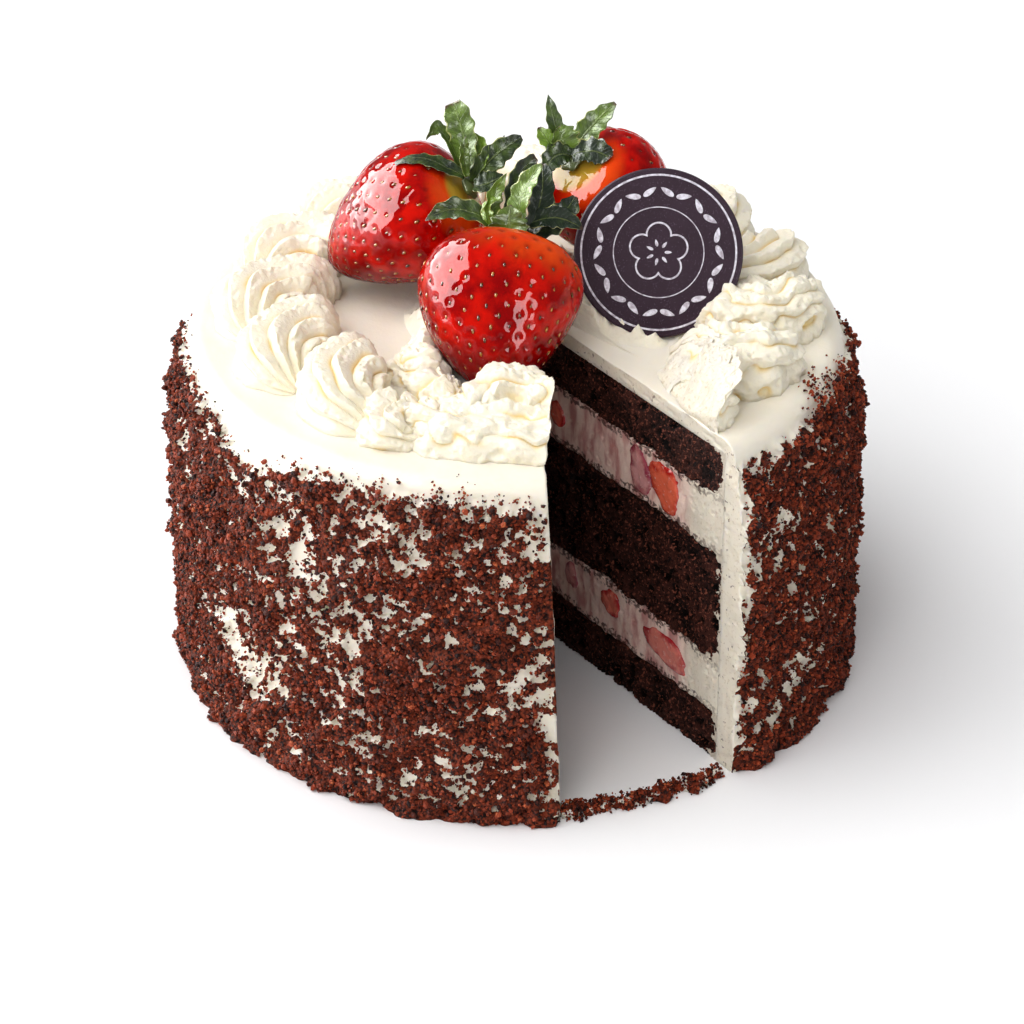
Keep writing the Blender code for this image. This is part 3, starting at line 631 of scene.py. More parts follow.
# Name, number, smallest and largest radius, how thin a coat they lie in, shape and seed.
CRUMB_KINDS = (("crumbs_clumps", 8500, 0.55, 1.0, -0.05, BALL, 11),
               ("crumbs_coarse", 24500, 0.45, 0.75, 0.0, DIAMOND, 12),
               ("crumbs_medium", 24500, 0.38, 0.62, 0.05, DIAMOND, 13),
               ("crumbs_fine", 24500, 0.28, 0.46, 0.10, DIAMOND, 14),
               ("crumbs_dust", 22000, 0.15, 0.3, 0.16, DIAMOND, 15))
for kind in CRUMB_KINDS:
    piece = crumbs(*kind, cocoa_crumb)


# ------------------------------------------------------------------------------------------
# Crumbs left by the slice. When the slice was lifted out, the foot of its coat stayed behind
# across the mouth of the cut: a low ragged line of crumbs stuck in a little cream.

REMNANT = (math.radians(7.8), math.radians(37.4))
REMNANT_INNER, REMNANT_OUTER = 88.8, 92.6
REMNANT_CRUMBS = 1700

sections = np.linspace(*REMNANT, 150)
across = np.linspace(0, 1, 14)
angle, share = np.meshgrid(sections, across, indexing="ij")
ragged = soft_noise(np.stack((angle * COAT_MIDDLE, angle * 0, angle * 0), -1), 5, 12)
patchy = soft_noise(np.stack((angle * COAT_MIDDLE, angle * 0 + 9, angle * 0), -1), 2.4, 12)
radius = REMNANT_INNER + 2.6 * ragged + (REMNANT_OUTER - REMNANT_INNER + 2.0 * patchy) * share
rise = 2.1 * np.sqrt(np.clip(np.sin(np.pi * share ** 0.8), 0, 1)) * (1 + 0.8 * ragged + 0.8 * patchy)
place = np.concatenate((heading(angle) * radius[..., None], rise[..., None]), -1)
place[..., 2] = np.maximum(LOWEST, place[..., 2] + rough(place, (0.9, 1.8, 13)) * (rise > 0.4))
body = Body()
index = body.add(place, coat=ease(soft_noise(place, 3, 14), -0.3, 0.2))
body.faces += quads(index) + [index[0], index[-1], (*index[:, 0], *index[::-1, -1])]
piece = body.piece("remnant_cream", cream)
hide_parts("coat_remnant")

draw = np.random.default_rng(15)
row = draw.integers(0, len(sections), REMNANT_CRUMBS)
column = draw.integers(0, len(across), REMNANT_CRUMBS)
spread = place[row, column] + draw.normal(0, 0.6, (REMNANT_CRUMBS, 3))
size = 0.25 + 0.5 * draw.random(REMNANT_CRUMBS) ** 2
spread[:, 2] = np.maximum(spread[:, 2], size * 0.6)
piece = crumb_pile("remnant_crumbs", spread, size, DIAMOND, draw, cocoa_crumb)


# ------------------------------------------------------------------------------------------
# Mound. Rough dabs of whipped cream in the middle of the top, which hold the strawberries and
# the plaque; they are spooned on, not piped, and merge with the swirls at the front.

MOUND_TOP = np.array((-5.0, 16.5))    # the place that its rows run out from
MOUND_CENTRE, MOUND_RADIUS = np.array((10.0, 5.0)), 41.0
CUT_GAP = 0.2                         # how far it stays from the cuts
SINK = 0.4                            # how far a heap of cream reaches into the cream below
# Place, width and height of each hump.
HUMPS = (((-12.0, -12.0), 20.0, 8.0), ((4.0, 16.0), 24.0, 13.0), ((-29.0, -3.0), 6.0, 5.0),
         ((-26.5, -10.0), 6.0, 6.0), ((-24.0, -18.0), 6.5, 6.5), ((-20.0, -26.0), 6.5, 6.5),
         ((-14.5, -34.0), 6.0, 6.0), ((15.5, -3.5), 4.5, 5.5), ((19.5, -7.0), 4.0, 6.5),
         ((24.0, -8.5), 4.0, 6.0), ((28.5, -10.5), 3.5, 5.0), ((33.0, -12.5), 3.2, 4.0),
         ((38.0, -13.5), 3.4, 3.6), ((46.0, -10.0), 3.6, 4.0))


def to_cuts(start, way):
    """How far rays run on top of the cake before they come out at a cut."""
    reach = np.full(len(way), np.inf)
    for angle, side in ((RIGHT_CUT, -1), (LEFT_CUT, 1)):
        outward = heading(angle + math.pi / 2) * side
        distance = (APEX_TOP - start) @ outward / np.maximum(way @ outward, 1e-6)
        ahead = start + way * distance[:, None] - APEX_TOP
        meets = (distance > 0) & (ahead @ heading(angle) > 0)
        reach = np.where(meets, np.minimum(reach, distance), reach)
    return reach


def mound_points():
    """The mound's points, from its top to its foot, and how deep they lie between dabs."""
    sides, rings = 420, 130
    way = heading(round_angles(sides))
    offset = MOUND_TOP - MOUND_CENTRE
    along = way @ offset
    rim = np.sqrt(along ** 2 - offset @ offset + MOUND_RADIUS ** 2) - along
    reach = np.minimum(rim, to_cuts(MOUND_TOP, way) - CUT_GAP)
    share = np.linspace(0, 1, rings)
    flat = MOUND_TOP + way[:, None] * (reach[:, None] * share)[..., None]
    place = np.concatenate((flat, np.zeros((sides, rings, 1))), -1)
    height = -0.7 + rough(place, (0.9, 6, 15))
    for spot, width, rise in HUMPS:
        height += rise * np.exp(-2 * ((flat - spot) ** 2).sum(-1) / width ** 2)
    folds = np.maximum(0, 1 - 4 * np.abs(soft_noise(place, 4, 35)))
    dabs = rough(place, (1.5, 5, 16), (1.1, 2.2, 17), (0.9, 1.3, 34)) + 1.6 * folds
    raised = np.clip(height / 4, 0, 1)
    height = (height + dabs * raised) * np.minimum(1, 6 * (1 - share)) - SINK * (share > 0.97)
    place[..., 2] = CAKE_TOP + height
    place[:, -1, 2] = CAKE_TOP - SINK
    return place, 0.6 * ease(dabs, 0.0, -1.8)


piped = Finish("piped_cream", Roughness=0.5, Specular_IOR_Level=0.2, Subsurface_Weight=0.2,
               Subsurface_Scale=0.0025, Subsurface_Radius=(1.0, 0.8, 0.4))
curd = piped.noise(1.3, 3)
# painted shade: a deep yellow laid in the grooves between ridges and between dabs, where shade falls
painted_groove_shade = piped.noted("groove").ease(0.5, 1.0) * piped.noise(9, 2).ease(0.36, 0.6)
groove_shaded_cream = piped.blend(painted_groove_shade, tint(244, 237, 219), tint(240, 212, 142))
curdled_shaded_cream = piped.blend(curd.ease(0.6, 0.8) * 0.25, groove_shaded_cream, tint(236, 226, 198))
# painted shade: darker specks on the sliced face stand for the shade in its pores
foam = piped.blend(piped.noise(0.9, 3).ease(0.54, 0.68) * 0.5, tint(241, 233, 215),
                   tint(204, 186, 152))
piped.paint(piped.noted("sliced"), curdled_shaded_cream, foam)
piped.relief(curd + 0.5 * piped.noise(0.5, 2), 0.28)

# hollow: how deep a point lies between dabs, which paints shade there
points, hollow = mound_points()
body = Body()
index = body.add(points, groove=hollow)
body.faces += fan(index[0, 0], index[:, 1], closed=True) + quads(index[:, 1:], closed=True)
body.faces.append(index[:, -1])
piece = body.piece("mound", piped)
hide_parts("cream_mound")


# ------------------------------------------------------------------------------------------
# Swirls. Cream piped with a star nozzle, one curled shell after another round the rim, each laid
# over the last: ridges with torn crests rise from its outer foot and bend over to its inner end.

RING_MIDDLE, RING_RADIUS = np.array((1.5, 4.5)), 60.0
RIDGE = 3.0                           # from the floor of a groove to a crest
# The lobes of each swirl: the place that the nozzle turned round, how far from it, half the
# width of the cream there, headings where it began and was pulled off, its height, its number
# of ridges and how loose it lies.
LOBES = [[((0.9, 4.5), 69.5, 12.0, 34, -21.5, 9.0, 4, 1),
          ((0.0, -61.5), 8.5, 8.5, -40, -300, 13.5, 3, 1)],
         [((-26.0, -60.0), 5.0, 8.5, 20, -150, 8.5, 4, 1),
          ((-19.0, -56.0), 6.0, 7.0, -150, 10, 7.5, 3, 1),
          ((-22.0, -30.0), 5.0, 7.0, 60, -190, 7.0, 3, 1.6),
          ((-12.0, -44.0), 6.0, 7.0, 40, -170, 6.5, 3, 1.6)]]
for turn in [-37.0 - 23.6 * step for step in range(13)]:
    outwards, onwards = heading(math.radians(turn)), heading(math.radians(turn + 90))
    place = RING_MIDDLE + outwards * RING_RADIUS + onwards * 4.0
    loose = 1.0 if turn < -270 else 0.2
    height, ridges = 11.6 + 2.6 * loose, 6 - round(loose)
    LOBES.append([(place, 13.5, 11.5, turn + 26, turn - 122, height, ridges, loose)])
LOBE_ROWS, LOBE_COLUMNS = 132, 180
FLANK = np.array((37.2, -31.9))       # swirls right of the cut stay behind a line from here
FLANK_HEADING = math.radians(18.7)


def lobe_points(centre, radius, half_width, begin, finish, height, ridges, loose, seed):
    """A curled tube of cream with rows along its ridges, how deep each point lies in a groove
    and where the knife cut it."""
    t = np.linspace(0.002, 0.998, LOBE_ROWS)[:, None]
    arch = np.linspace(0, np.pi, LOBE_COLUMNS)[None]
    begins = np.sin(np.pi / 2 * np.minimum(t / 0.42, 1))
    ends = np.sqrt(1 - np.clip((t - 0.84) / 0.16, 0, 1) ** 2.4)
    turn = np.radians(begin + (finish - begin) * t)
    wide = half_width * (0.2 + 0.8 * begins ** 0.8) * (0.55 + 0.45 * ends)
    away = radius + wide * np.cos(arch)
    tall = height * begins ** 0.9 * ends * np.sin(arch) ** 0.62 * (1 + 0.10 * np.cos(arch))
    flat = heading(turn) * away[..., None] + centre
    place = np.concatenate((flat, CAKE_TOP + tall[..., None]), -1)
    normal = unit(np.cross(np.gradient(place, axis=0), np.gradient(place, axis=1)))
    normal *= np.sign(normal[..., 2:].mean())

    wander = rough(place, (0.22 + 0.5 * loose, 10, seed + 20), (0.45 * loose, 5, seed + 24))
    step = (ridges * arch / np.pi + wander + 0.45 * (1 - t) + 0.2) % 1
    crest = np.where(step < 0.3, (step / 0.3) ** 0.7, ((1 - step) / 0.7) ** 0.85) ** 0.8
    torn = rough(place, (1.0, 1.3, seed + 18), (0.5, 3.6, 19))
    tears = np.clip(soft_noise(place, 2.4, seed + 50) - 0.2, 0, 1)
    frayed = ((0.45 + 0.3 * loose) * torn - (1.8 + loose) * tears) \
        * ease(crest, 0.55 - 0.3 * loose, 1.0)
    rise = RIDGE * (1 - 0.3 * loose) * (crest - 0.5) + rough(place, (2.6 * loose, 8, seed + 26)) \
        + frayed
    place = place + normal * (rise * ease(t, -0.05, 0.2))[..., None]

    # What stops the swirl: a line through a point, its heading, its side, and how it leans.
    if centre[1] > APEX_TOP[1]:
        walls = ()
    elif centre[0] < APEX_TOP[0]:
        walls = ((APEX_TOP, LEFT_CUT, 1, 0.28),)
    else:
        walls = ((APEX_TOP, RIGHT_CUT, -1, 0.0), (FLANK, FLANK_HEADING, -1, -0.9))
    uneven = rough(place, (0.15, 1.4, 61), (0.6, 6, 62))
    sliced = np.zeros(rise.shape)
    for start, angle, side, lean in walls:
        outward = heading(angle + math.pi / 2) * side
        bulge = lean * np.maximum(place[..., 2] - CAKE_TOP, 0) - 0.3
        bulge += uneven * (1.8 if lean < 0 else 1)
        past = np.maximum((place[..., :2] - start) @ outward - bulge, 0)
        if lean >= 0:
            sliced = ease(past, 0.0, 0.3)
        place[..., :2] -= outward * past[..., None]
    place[..., 2] = np.maximum(place[..., 2], CAKE_TOP - SINK)
    place[[0, -1], :, 2] = CAKE_TOP - SINK
    place[:, [0, -1], 2] = CAKE_TOP - SINK
    return place, (1 - crest) * ease(t, 0.0, 0.3), sliced


for number, lobes in enumerate(LOBES):
    body = Body()
    for lobe in lobes:
        points, groove, sliced = lobe_points(*lobe, number)
        # groove: how deep a point lies in a groove, which paints shade there
        index = body.add(points, groove=groove, sliced=sliced)
        rim = (*index[0, :-1], *index[:-1, -1], *index[-1, :0:-1], *index[:0:-1, 0])
        body.faces += quads(index) + [rim]
    piece = body.piece(f"piped_{number + 1:02d}", piped)
    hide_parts(f"swirl_{number + 1:02d}")


# ------------------------------------------------------------------------------------------
# Strawberries. Three large fresh berries with a clear glaze, laid on their sides in the
# cream: seeds in dimples over a red skin that pales to orange or yellow round the stalk.


class Berry:
    """A strawberry between its calyx and its tip, bent aside by sway towards twist."""

    def __init__(self, name, calyx, tip, radius, sway, twist, pale, fade):
        self.name = name
        self.calyx, self.tip = np.array(calyx), np.array(tip)
        self.radius, self.sway, self.twist = radius, sway, math.radians(twist)
        self.pale, self.fade = math.radians(pale), fade     # where and how far the skin stays pale
        self.length = float(np.linalg.norm(self.tip - self.calyx))
        self.turned = np.array(Vector(self.tip - self.calyx).to_track_quat("Z", "Y").to_matrix())

    def skin(self, share, turn, grow=0.0):
        """Points of the skin; share runs from calyx to tip and turn goes round."""
        share, turn = np.broadcast_arrays(share, turn)
        swell = np.sin(np.pi * np.clip(share, 0, 1) ** 0.60) ** 0.58
        swell = np.where((share <= 0) | (share >= 1), 0.0, swell)
        uneven = 1 + 0.045 * np.cos(2 * turn + 0.6) + 0.025 * np.cos(3 * turn)
        radius = self.radius * swell * uneven + grow * (swell > 0)
        aside = self.sway * np.sin(np.pi * share)
        local = np.stack((radius * np.cos(turn) + aside * math.cos(self.twist),
                          radius * np.sin(turn) + aside * math.sin(self.twist),
                          self.length * share + grow * (2 * share - 1)), -1)
        return local @ self.turned.T + self.calyx


BERRIES = (Berry("front", (-1.0, -9.0, 128.8), (-6.0, -43.0, 101.8), 20.9, 2.0, 180, 40, 0.8),
           Berry("left", (-13.5, 12.0, 133.6), (-50.5, 19.5, 108.0), 19.0, 0.6, 90, 0, 0.2),
           Berry("back", (16.5, 20.0, 137.5), (40.0, 37.0, 106.0), 18.0, 0.5, 0, 180, 0.2))
# Where the rows and rings of each skin lie, the rings closer together towards its ends.
AROUND = round_angles(240)[:, None]
ALONG = (1 - np.cos(np.linspace(0, np.pi, 150)))[None] / 2
SEEDS = 270
GOLDEN = math.pi * (3 - math.sqrt(5))           # the turn from one seed to the next
SEED_SHARE = 0.06 + 0.92 * ((np.arange(SEEDS) + 0.5) / SEEDS) ** 0.95
SEED_TURN = (np.arange(SEEDS) + 0.5) * GOLDEN
SEED_HALF = (0.45, 0.95, 0.34)                  # half its width, length and thickness
LEAF_GAP = 0.9                                  # leaves rest at least so far over the skin


def berry_points(berry):
    """The skin with its dimples, and how far each point is from the nearest seed."""
    place = berry.skin(ALONG, AROUND)
    out = unit(berry.skin(ALONG, AROUND, 0.5) - berry.skin(ALONG, AROUND, -0.5))
    tree = KDTree(SEEDS)
    for number, pit in enumerate(berry.skin(SEED_SHARE, SEED_TURN)):
        tree.insert(pit, number)
    tree.balance()
    apart = [tree.find(point)[2] for point in place.reshape(-1, 3)]
    apart = np.array(apart).reshape(place.shape[:2])
    dent = -0.28 * np.exp(-(apart / 0.85) ** 2) + 0.05 * np.exp(-((apart - 1.9) / 0.8) ** 2)
    creases = 1 - np.abs(soft_noise(place, 5, 31)) * 3
    soft = rough(place, (0.40, 9, 30), (0.10, 2.6, 32)) \
        - 0.28 * ease(creases, 0.2, 1.0) * ease(soft_noise(place, 14, 33), 0.0, 0.3)
    return place + out * (dent + soft)[..., None], apart


def seeds(berry, finish):
    """One flat oval seed in each dimple, its long way from calyx to tip."""
    corners, sides = BALL
    centre = berry.skin(SEED_SHARE, SEED_TURN, -SEED_HALF[2])
    out = unit(berry.skin(SEED_SHARE, SEED_TURN, 0.5) - centre)
    down = berry.skin(SEED_SHARE + 0.01, SEED_TURN) - berry.skin(SEED_SHARE - 0.01, SEED_TURN)
    down = unit(down - out * (down * out).sum(1)[:, None])
    aside = np.cross(out, down)
    frames = np.stack((aside, down, out), 1) * np.array(SEED_HALF)[:, None]
    body = Body()
    index = body.add(np.einsum("kj,njc->nkc", corners, frames) + centre[:, None])
    body.faces += index[:, sides].reshape(-1, 3).tolist()
    return body.piece("seeds_" + berry.name, finish)


skin = Finish("strawberry_skin", Roughness=0.4, Specular_IOR_Level=0.0, Coat_Weight=1.0,
              Coat_Roughness=0.03, Coat_IOR=1.34, Subsurface_Weight=0.1, Subsurface_Scale=0.0015,
              Subsurface_Radius=(1.0, 0.1, 0.05))
mottle = skin.noise(7, 3)
red = skin.blend(mottle.ease(0.35, 0.65), tint(206, 20, 4), tint(150, 0, 3))
# painted shade: the red deepens towards the bottom of the berry, near the cream
red_with_painted_shade = skin.blend(skin.noted("under"), red, tint(96, 0, 6))
orange = skin.blend((skin.noted("pale") + 0.5 * (mottle - 0.5)).ease(0.45, 1.05), red_with_painted_shade,
                    tint(236, 84, 18))
collar = skin.blend((skin.noted("collar") + 0.4 * (mottle - 0.5)).ease(0.45, 1.0), orange,
                    tint(196, 160, 58))
# painted shade: the skin darkens round each seed, in the dimple where shade falls
skin.paint(skin.noted("pit") * 0.6, collar, tint(110, 10, 6))
skin.relief(skin.noise(0.9, 2), 0.08)
seed = Finish("strawberry_seed", Roughness=0.35, Coat_Weight=0.6)
golden = seed.noise(1.8, 2).ease(0.35, 0.65)
seed.paint(golden, tint(70, 34, 12), tint(186, 128, 46))

hulls = []
for berry in BERRIES:
    points, apart = berry_points(berry)
    sideways = 0.5 + 0.5 * np.cos(AROUND - berry.pale)
    body = Body()
    # pit: nearness to a seed, which paints shade in its dimple
    index = body.add(points, pit=np.exp(-(apart / 0.9) ** 2),
                     # under: how low a point lies, which paints shade on the berry's underside
                     under=ease(points[..., 2], CAKE_TOP + 20, CAKE_TOP + 3),
                     pale=sideways * ease(ALONG, berry.fade, 0.0),
                     collar=ease(ALONG, 0.036, 0.003))
    body.faces += fan(index[0, 0], index[:, 1], closed=True) \
        + fan(index[0, -1], index[:, -2], closed=True) + quads(index[:, 1:-1], closed=True)
    piece = body.piece("berry_" + berry.name, skin)
    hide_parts("strawberry_" + berry.name)
    seeds_piece = seeds(berry, seed)
    hull = berry.skin(ALONG[:, ::4], AROUND[::4], LEAF_GAP)
    corners = hull.reshape(-1, 3).tolist()
    grid = quads(np.arange(len(corners)).reshape(hull.shape[:2]), closed=True)
    hulls.append(BVHTree.FromPolygons(corners, grid))


# ------------------------------------------------------------------------------------------
# Calyxes. Each berry keeps its green star: a small knob where the stalk was, with pointed
# leaves that stand up, hang over the berry or curl, folded along a pale rib.


def leaning(angle):
    """The ways to the right, up and forwards for a thing that leans back by an angle."""
    return np.array(((1.0, 0.0, 0.0), (0.0, math.sin(angle), math.cos(angle)),
                     (0.0, -math.cos(angle), math.sin(angle))))


SEEN = leaning(math.radians(31.5))
KNOB_RADIUS, KNOB_HEIGHT, KNOB_LIFT = 3.2, 1.4, 1.9
# A leaf's foot on the calyx, bend and tip, as seen from the front and above: to the right, up and
# towards the viewer; then its width, how blunt its tip is, its roll in degrees and how light it is,
# which is its own green together with painted light and shade.
LEAVES = {
    "front": (((-0.5, 0.0, 3.0), (-1.0, 1.5, 5.5), (-0.2, 7.8, 4.5), 10.5, 0.0, 0, 0.5),
              ((-3.5, 1.0, 2.0), (-8.5, 7.8, 2.0), (-1.3, 16.4, 2.0), 5.6, 0.0, 30, 0.9),
              ((-4.0, 1.0, 3.0), (-8.8, 8.6, 4.0), (-2.6, 9.5, 4.5), 4.2, 0.4, -35, 0.8),
              ((0.0, 3.0, 0.0), (-0.7, 15.6, -1.0), (6.4, 21.2, -2.0), 6.4, 0.5, 25, 0.15),
              ((2.0, 3.0, 2.0), (0.9, 10.9, 3.0), (8.1, 18.9, 2.0), 6.6, 0.1, -25, 0.7),
              ((4.5, 1.0, 0.0), (9.0, 9.0, -1.0), (8.3, 19.5, -4.0), 7.0, 0.5, 30, 0.05),
              ((4.0, 2.5, 0.0), (11.8, 7.4, -1.0), (18.9, 1.6, 0.0), 6.4, 0.1, -20, 0.0),
              ((3.0, 1.0, -2.0), (13.0, 3.0, -4.0), (17.0, 11.0, -7.0), 7.5, 0.3, 40, 0.1),
              ((-3.0, 1.0, 2.0), (-13.6, 11.0, 3.0), (-22.9, 3.6, 4.5), 6.4, 0.0, 35, 0.3)),
    "left": (((-1.0, 3.5, 0.0), (-0.5, 13.5, 0.0), (-4.8, 22.8, 1.0), 7.6, 1.0, -15, 0.55),
             ((-3.0, 6.0, 0.0), (-8.5, 21.0, 2.0), (-11.8, 12.6, 3.0), 4.6, 0.0, 40, 0.5),
             ((-1.5, 2.5, 3.0), (-11.2, 8.6, 5.0), (-19.2, 4.0, 3.5), 5.2, 0.2, 20, 0.2),
             ((1.5, 3.5, 0.0), (5.4, 10.0, -1.0), (0.2, 14.5, 0.0), 5.0, 0.2, -30, 0.75),
             ((1.0, 1.0, 1.0), (4.0, 8.0, 1.0), (13.9, 13.5, -1.0), 7.4, 0.3, 25, 0.25),
             ((3.0, 3.0, -3.0), (8.2, 8.3, -3.0), (9.2, 14.5, -4.0), 4.0, 0.0, 0, 0.3),
             ((1.0, 0.0, 3.5), (5.0, 0.0, 5.0), (9.0, 3.0, 3.0), 6.5, 0.3, -30, 0.2),
             ((-1.0, 2.5, 3.0), (-2.6, 8.7, 4.0), (-1.2, 13.2, 5.0), 3.6, 0.0, 40, 0.6)),
    "back": (((-2.0, 2.0, 0.0), (-4.2, 8.0, 0.0), (-6.4, 18.0, 0.0), 4.8, 0.0, 0, 0.35),
             ((0.5, 2.5, 0.0), (4.6, 9.4, 0.0), (11.9, 15.6, 1.0), 6.8, 0.2, 0, 0.5),
             ((-2.5, 1.0, 1.0), (-6.4, 4.0, 2.0), (-8.8, 9.0, 1.0), 5.6, 0.2, 35, 0.8),
             ((-1.0, 1.0, 1.0), (-2.0, 5.6, 3.0), (-4.0, 8.5, 4.0), 8.5, 0.5, 0, 0.6),
             ((-0.5, 1.0, 2.0), (-5.0, 3.0, 5.0), (-7.2, -3.6, 5.5), 7.0, 0.3, 20, 0.25),
             ((0.0, 1.0, 2.0), (5.2, 4.0, 4.0), (10.6, 0.2, 4.0), 7.4, 0.6, -20, 0.1)),
}


def leaf_points(foot, bend, tip, width, blunt, roll, seed_number):
    """Both faces of a leaf, a folded, wavy blade along a curve, and where its points lie."""
    along = np.linspace(0, 1, 40)[:, None]
    across = np.linspace(-1, 1, 15)[None]
    spine = foot * (1 - along) ** 2 + bend * 2 * along * (1 - along) + tip * along ** 2
    tangent = unit((bend - foot) * (1 - along) + (tip - bend) * along)
    turned = math.radians(roll) + 0.9 * (along - 0.3) * math.sin(2.3 * seed_number)
    looks = np.stack((np.sin(turned[:, 0]), 0.3 + 0 * turned[:, 0], np.cos(turned[:, 0])), -1)
    side = unit(np.cross(tangent, looks @ SEEN))
    face = np.cross(side, tangent)
    pointed = np.interp(along, (0, .15, .38, .6, .8, .93, 1), (.5, .78, 1, .94, .64, .3, .03))
    stubby = np.interp(along, (0, .2, .5, .8, .95, 1), (.5, .8, .96, 1, .8, .6))
    breadth = (pointed + (stubby - pointed) * blunt) * width / 2
    breadth = breadth * (1 + 0.10 * np.sin(31 * along + seed_number))
    wave = np.sin(8 * along + seed_number) * 0.22 * along + 0.09 * np.sin(23 * along + across)
    fold = (0.34 * np.abs(across) ** 1.3 + wave * across) * breadth
    middle = spine[:, None] + side[:, None] * (across * breadth)[..., None] \
        + face[:, None] * fold[..., None]
    creased = rough(middle, (0.35, 2.4, seed_number), (0.12, 1.0, 60))
    middle = middle + face[:, None] * creased[..., None]
    pushed = []
    for point in middle.reshape(-1, 3).tolist():
        point = Vector(point)
        for hull in hulls:
            nearest, normal = hull.find_nearest(point)[:2]
            if (point - nearest).dot(normal) < 0:
                point = nearest
        pushed.append(point)
    middle = np.array(pushed).reshape(middle.shape)
    thick = (0.22 * (1 - 0.6 * np.abs(across) ** 3) * (1 - 0.5 * along))[..., None]
    return np.stack((middle + face[:, None] * thick, middle - face[:, None] * thick)), across, along


def calyx(berry, finish):
    middle = berry.calyx + unit(berry.calyx - berry.tip) * KNOB_LIFT
    body = Body()
    for number, (*course, width, blunt, roll, light) in enumerate(LEAVES[berry.name]):
        course = [middle + np.array(spot) @ SEEN for spot in course]
        blades, across, along = leaf_points(*course, width, blunt, roll, number)
        top, under = body.add(blades, across=across, along=along, light=light)
        body.faces += quads(top) + quads(under[:, ::-1])
        for edge, twin in ((top[:, 0], under[:, 0]), (top[:, -1], under[:, -1]),
                           (top[0], under[0]), (top[-1], under[-1])):
            body.faces += quads(np.stack((edge, twin), -1))
    turn = round_angles(24)[:, None]
    slope = np.linspace(0, np.pi, 13)[None]
    wide = KNOB_RADIUS * np.sin(slope) * (1 + 0.1 * np.cos(5 * turn))
    tall = KNOB_HEIGHT * np.cos(slope) + 0 * turn
    knob = np.stack((wide * np.cos(turn), wide * np.sin(turn), tall), -1)
    index = body.add(knob @ berry.turned.T + middle, across=0.0, along=0.0, light=0.0)
    body.faces += quads(index, closed=True)
    return body.piece("leaves_" + berry.name, finish)


green = Finish("calyx_leaf", Roughness=0.42, Coat_Weight=0.35, Coat_Roughness=0.15)
along = green.noted("along")
width = green.maths("ABSOLUTE", green.noted("across"))
slant = green.maths("FRACT", along * 13.0 - width * 2.0)
side_vein = green.maths("ABSOLUTE", slant - 0.5).ease(0.10, 0.0)
blotch = green.noise(2.6, 4)
# painted light and shade: each leaf's own lightness, partly its green and partly its shading, with
# blotches
light = (green.noted("light") + 0.9 * (blotch - 0.5)).ease(0.0, 1.0)
blade = green.blend(light, tint(14, 36, 12), tint(126, 156, 50))
veined = green.blend(side_vein * 0.22 * light, blade, tint(150, 170, 90))
ribbed = green.blend(width.ease(0.09, 0.02) * 0.35, veined, tint(150, 166, 92))
edge_share = (width + 0.5 * (green.noise(4, 2) - 0.5)).ease(0.94, 1.04) * 0.75
edged = green.blend(edge_share, ribbed, tint(196, 198, 124))
dry = (along + 0.3 * (blotch - 0.5)).ease(0.93, 1.03)
green.paint(dry, edged, tint(78, 46, 28))
green.relief(0.6 * side_vein + width.ease(0.12, 0.0) + 0.8 * green.noise(0.7, 2), 0.22)

for berry in BERRIES:
    piece = calyx(berry, green)
    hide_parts("calyx_" + berry.name)


# ------------------------------------------------------------------------------------------
# Plaque. A round of dark chocolate, cast 2.6 mm thick with soft edges and printed in white
# cocoa butter with a plain ring, a wreath and a flower. It leans back, its foot in the cream.

DISC_RADIUS, DISC_THICKNESS, DISC_EDGE = 22.8, 2.6, 0.6
PLAQUE = leaning(math.radians(31.5))
PLAQUE_MIDDLE = np.array((38.8, -11.8, 101.4)) + PLAQUE[1] * DISC_RADIUS
PRINT_THICKNESS, PRINT_SUNK = 0.14, 0.04        # the print starts below the disc's face

turn = round_angles(160)[:, None]
bend = np.linspace(0, np.pi / 2, 7)
half = DISC_THICKNESS / 2
radius = np.concatenate((np.linspace(0.5, DISC_RADIUS - DISC_EDGE - 0.5, 12),
                         DISC_RADIUS - DISC_EDGE + DISC_EDGE * np.sin(bend)))
front = np.concatenate((np.full(12, half), half - DISC_EDGE + DISC_EDGE * np.cos(bend)))
radius, front = np.concatenate((radius, radius[::-1])), np.concatenate((front, -front[::-1]))
local = np.stack(np.broadcast_arrays(radius * np.cos(turn), radius * np.sin(turn), front), -1)
local[..., 2] += rough(local, (0.08, 9, 41)) * np.sign(local[..., 2])
body = Body()
index = body.add(local @ PLAQUE + PLAQUE_MIDDLE)
body.faces += quads(index, closed=True) + [index[:, 0], index[:, -1]]

chocolate = Finish("dark_chocolate", Specular_IOR_Level=0.25)
# painted highlight: bright specks on the chocolate stand for glints of light, and are made a little
# glossier
glint_cells = chocolate.cells(0.42)
painted_glint = glint_cells.ease(0.24, 0.08) * chocolate.noise(0.9, 2).ease(0.42, 0.56)
bloom = chocolate.blend(chocolate.noise(9, 3), tint(50, 33, 44), tint(66, 47, 62))
chocolate.paint(painted_glint * 0.7, bloom, tint(150, 130, 156))
chocolate.feed("Roughness", 0.45 - 0.15 * painted_glint)
chocolate.relief(chocolate.noise(0.5, 3), 0.12)

piece = body.piece("plaque", chocolate)
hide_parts("chocolate_disc")


def printed(outline):
    """A place in the plaque's plane and a height over its face, as a place on the cake."""
    return (outline + (0, 0, half - PRINT_SUNK)) @ PLAQUE + PLAQUE_MIDDLE


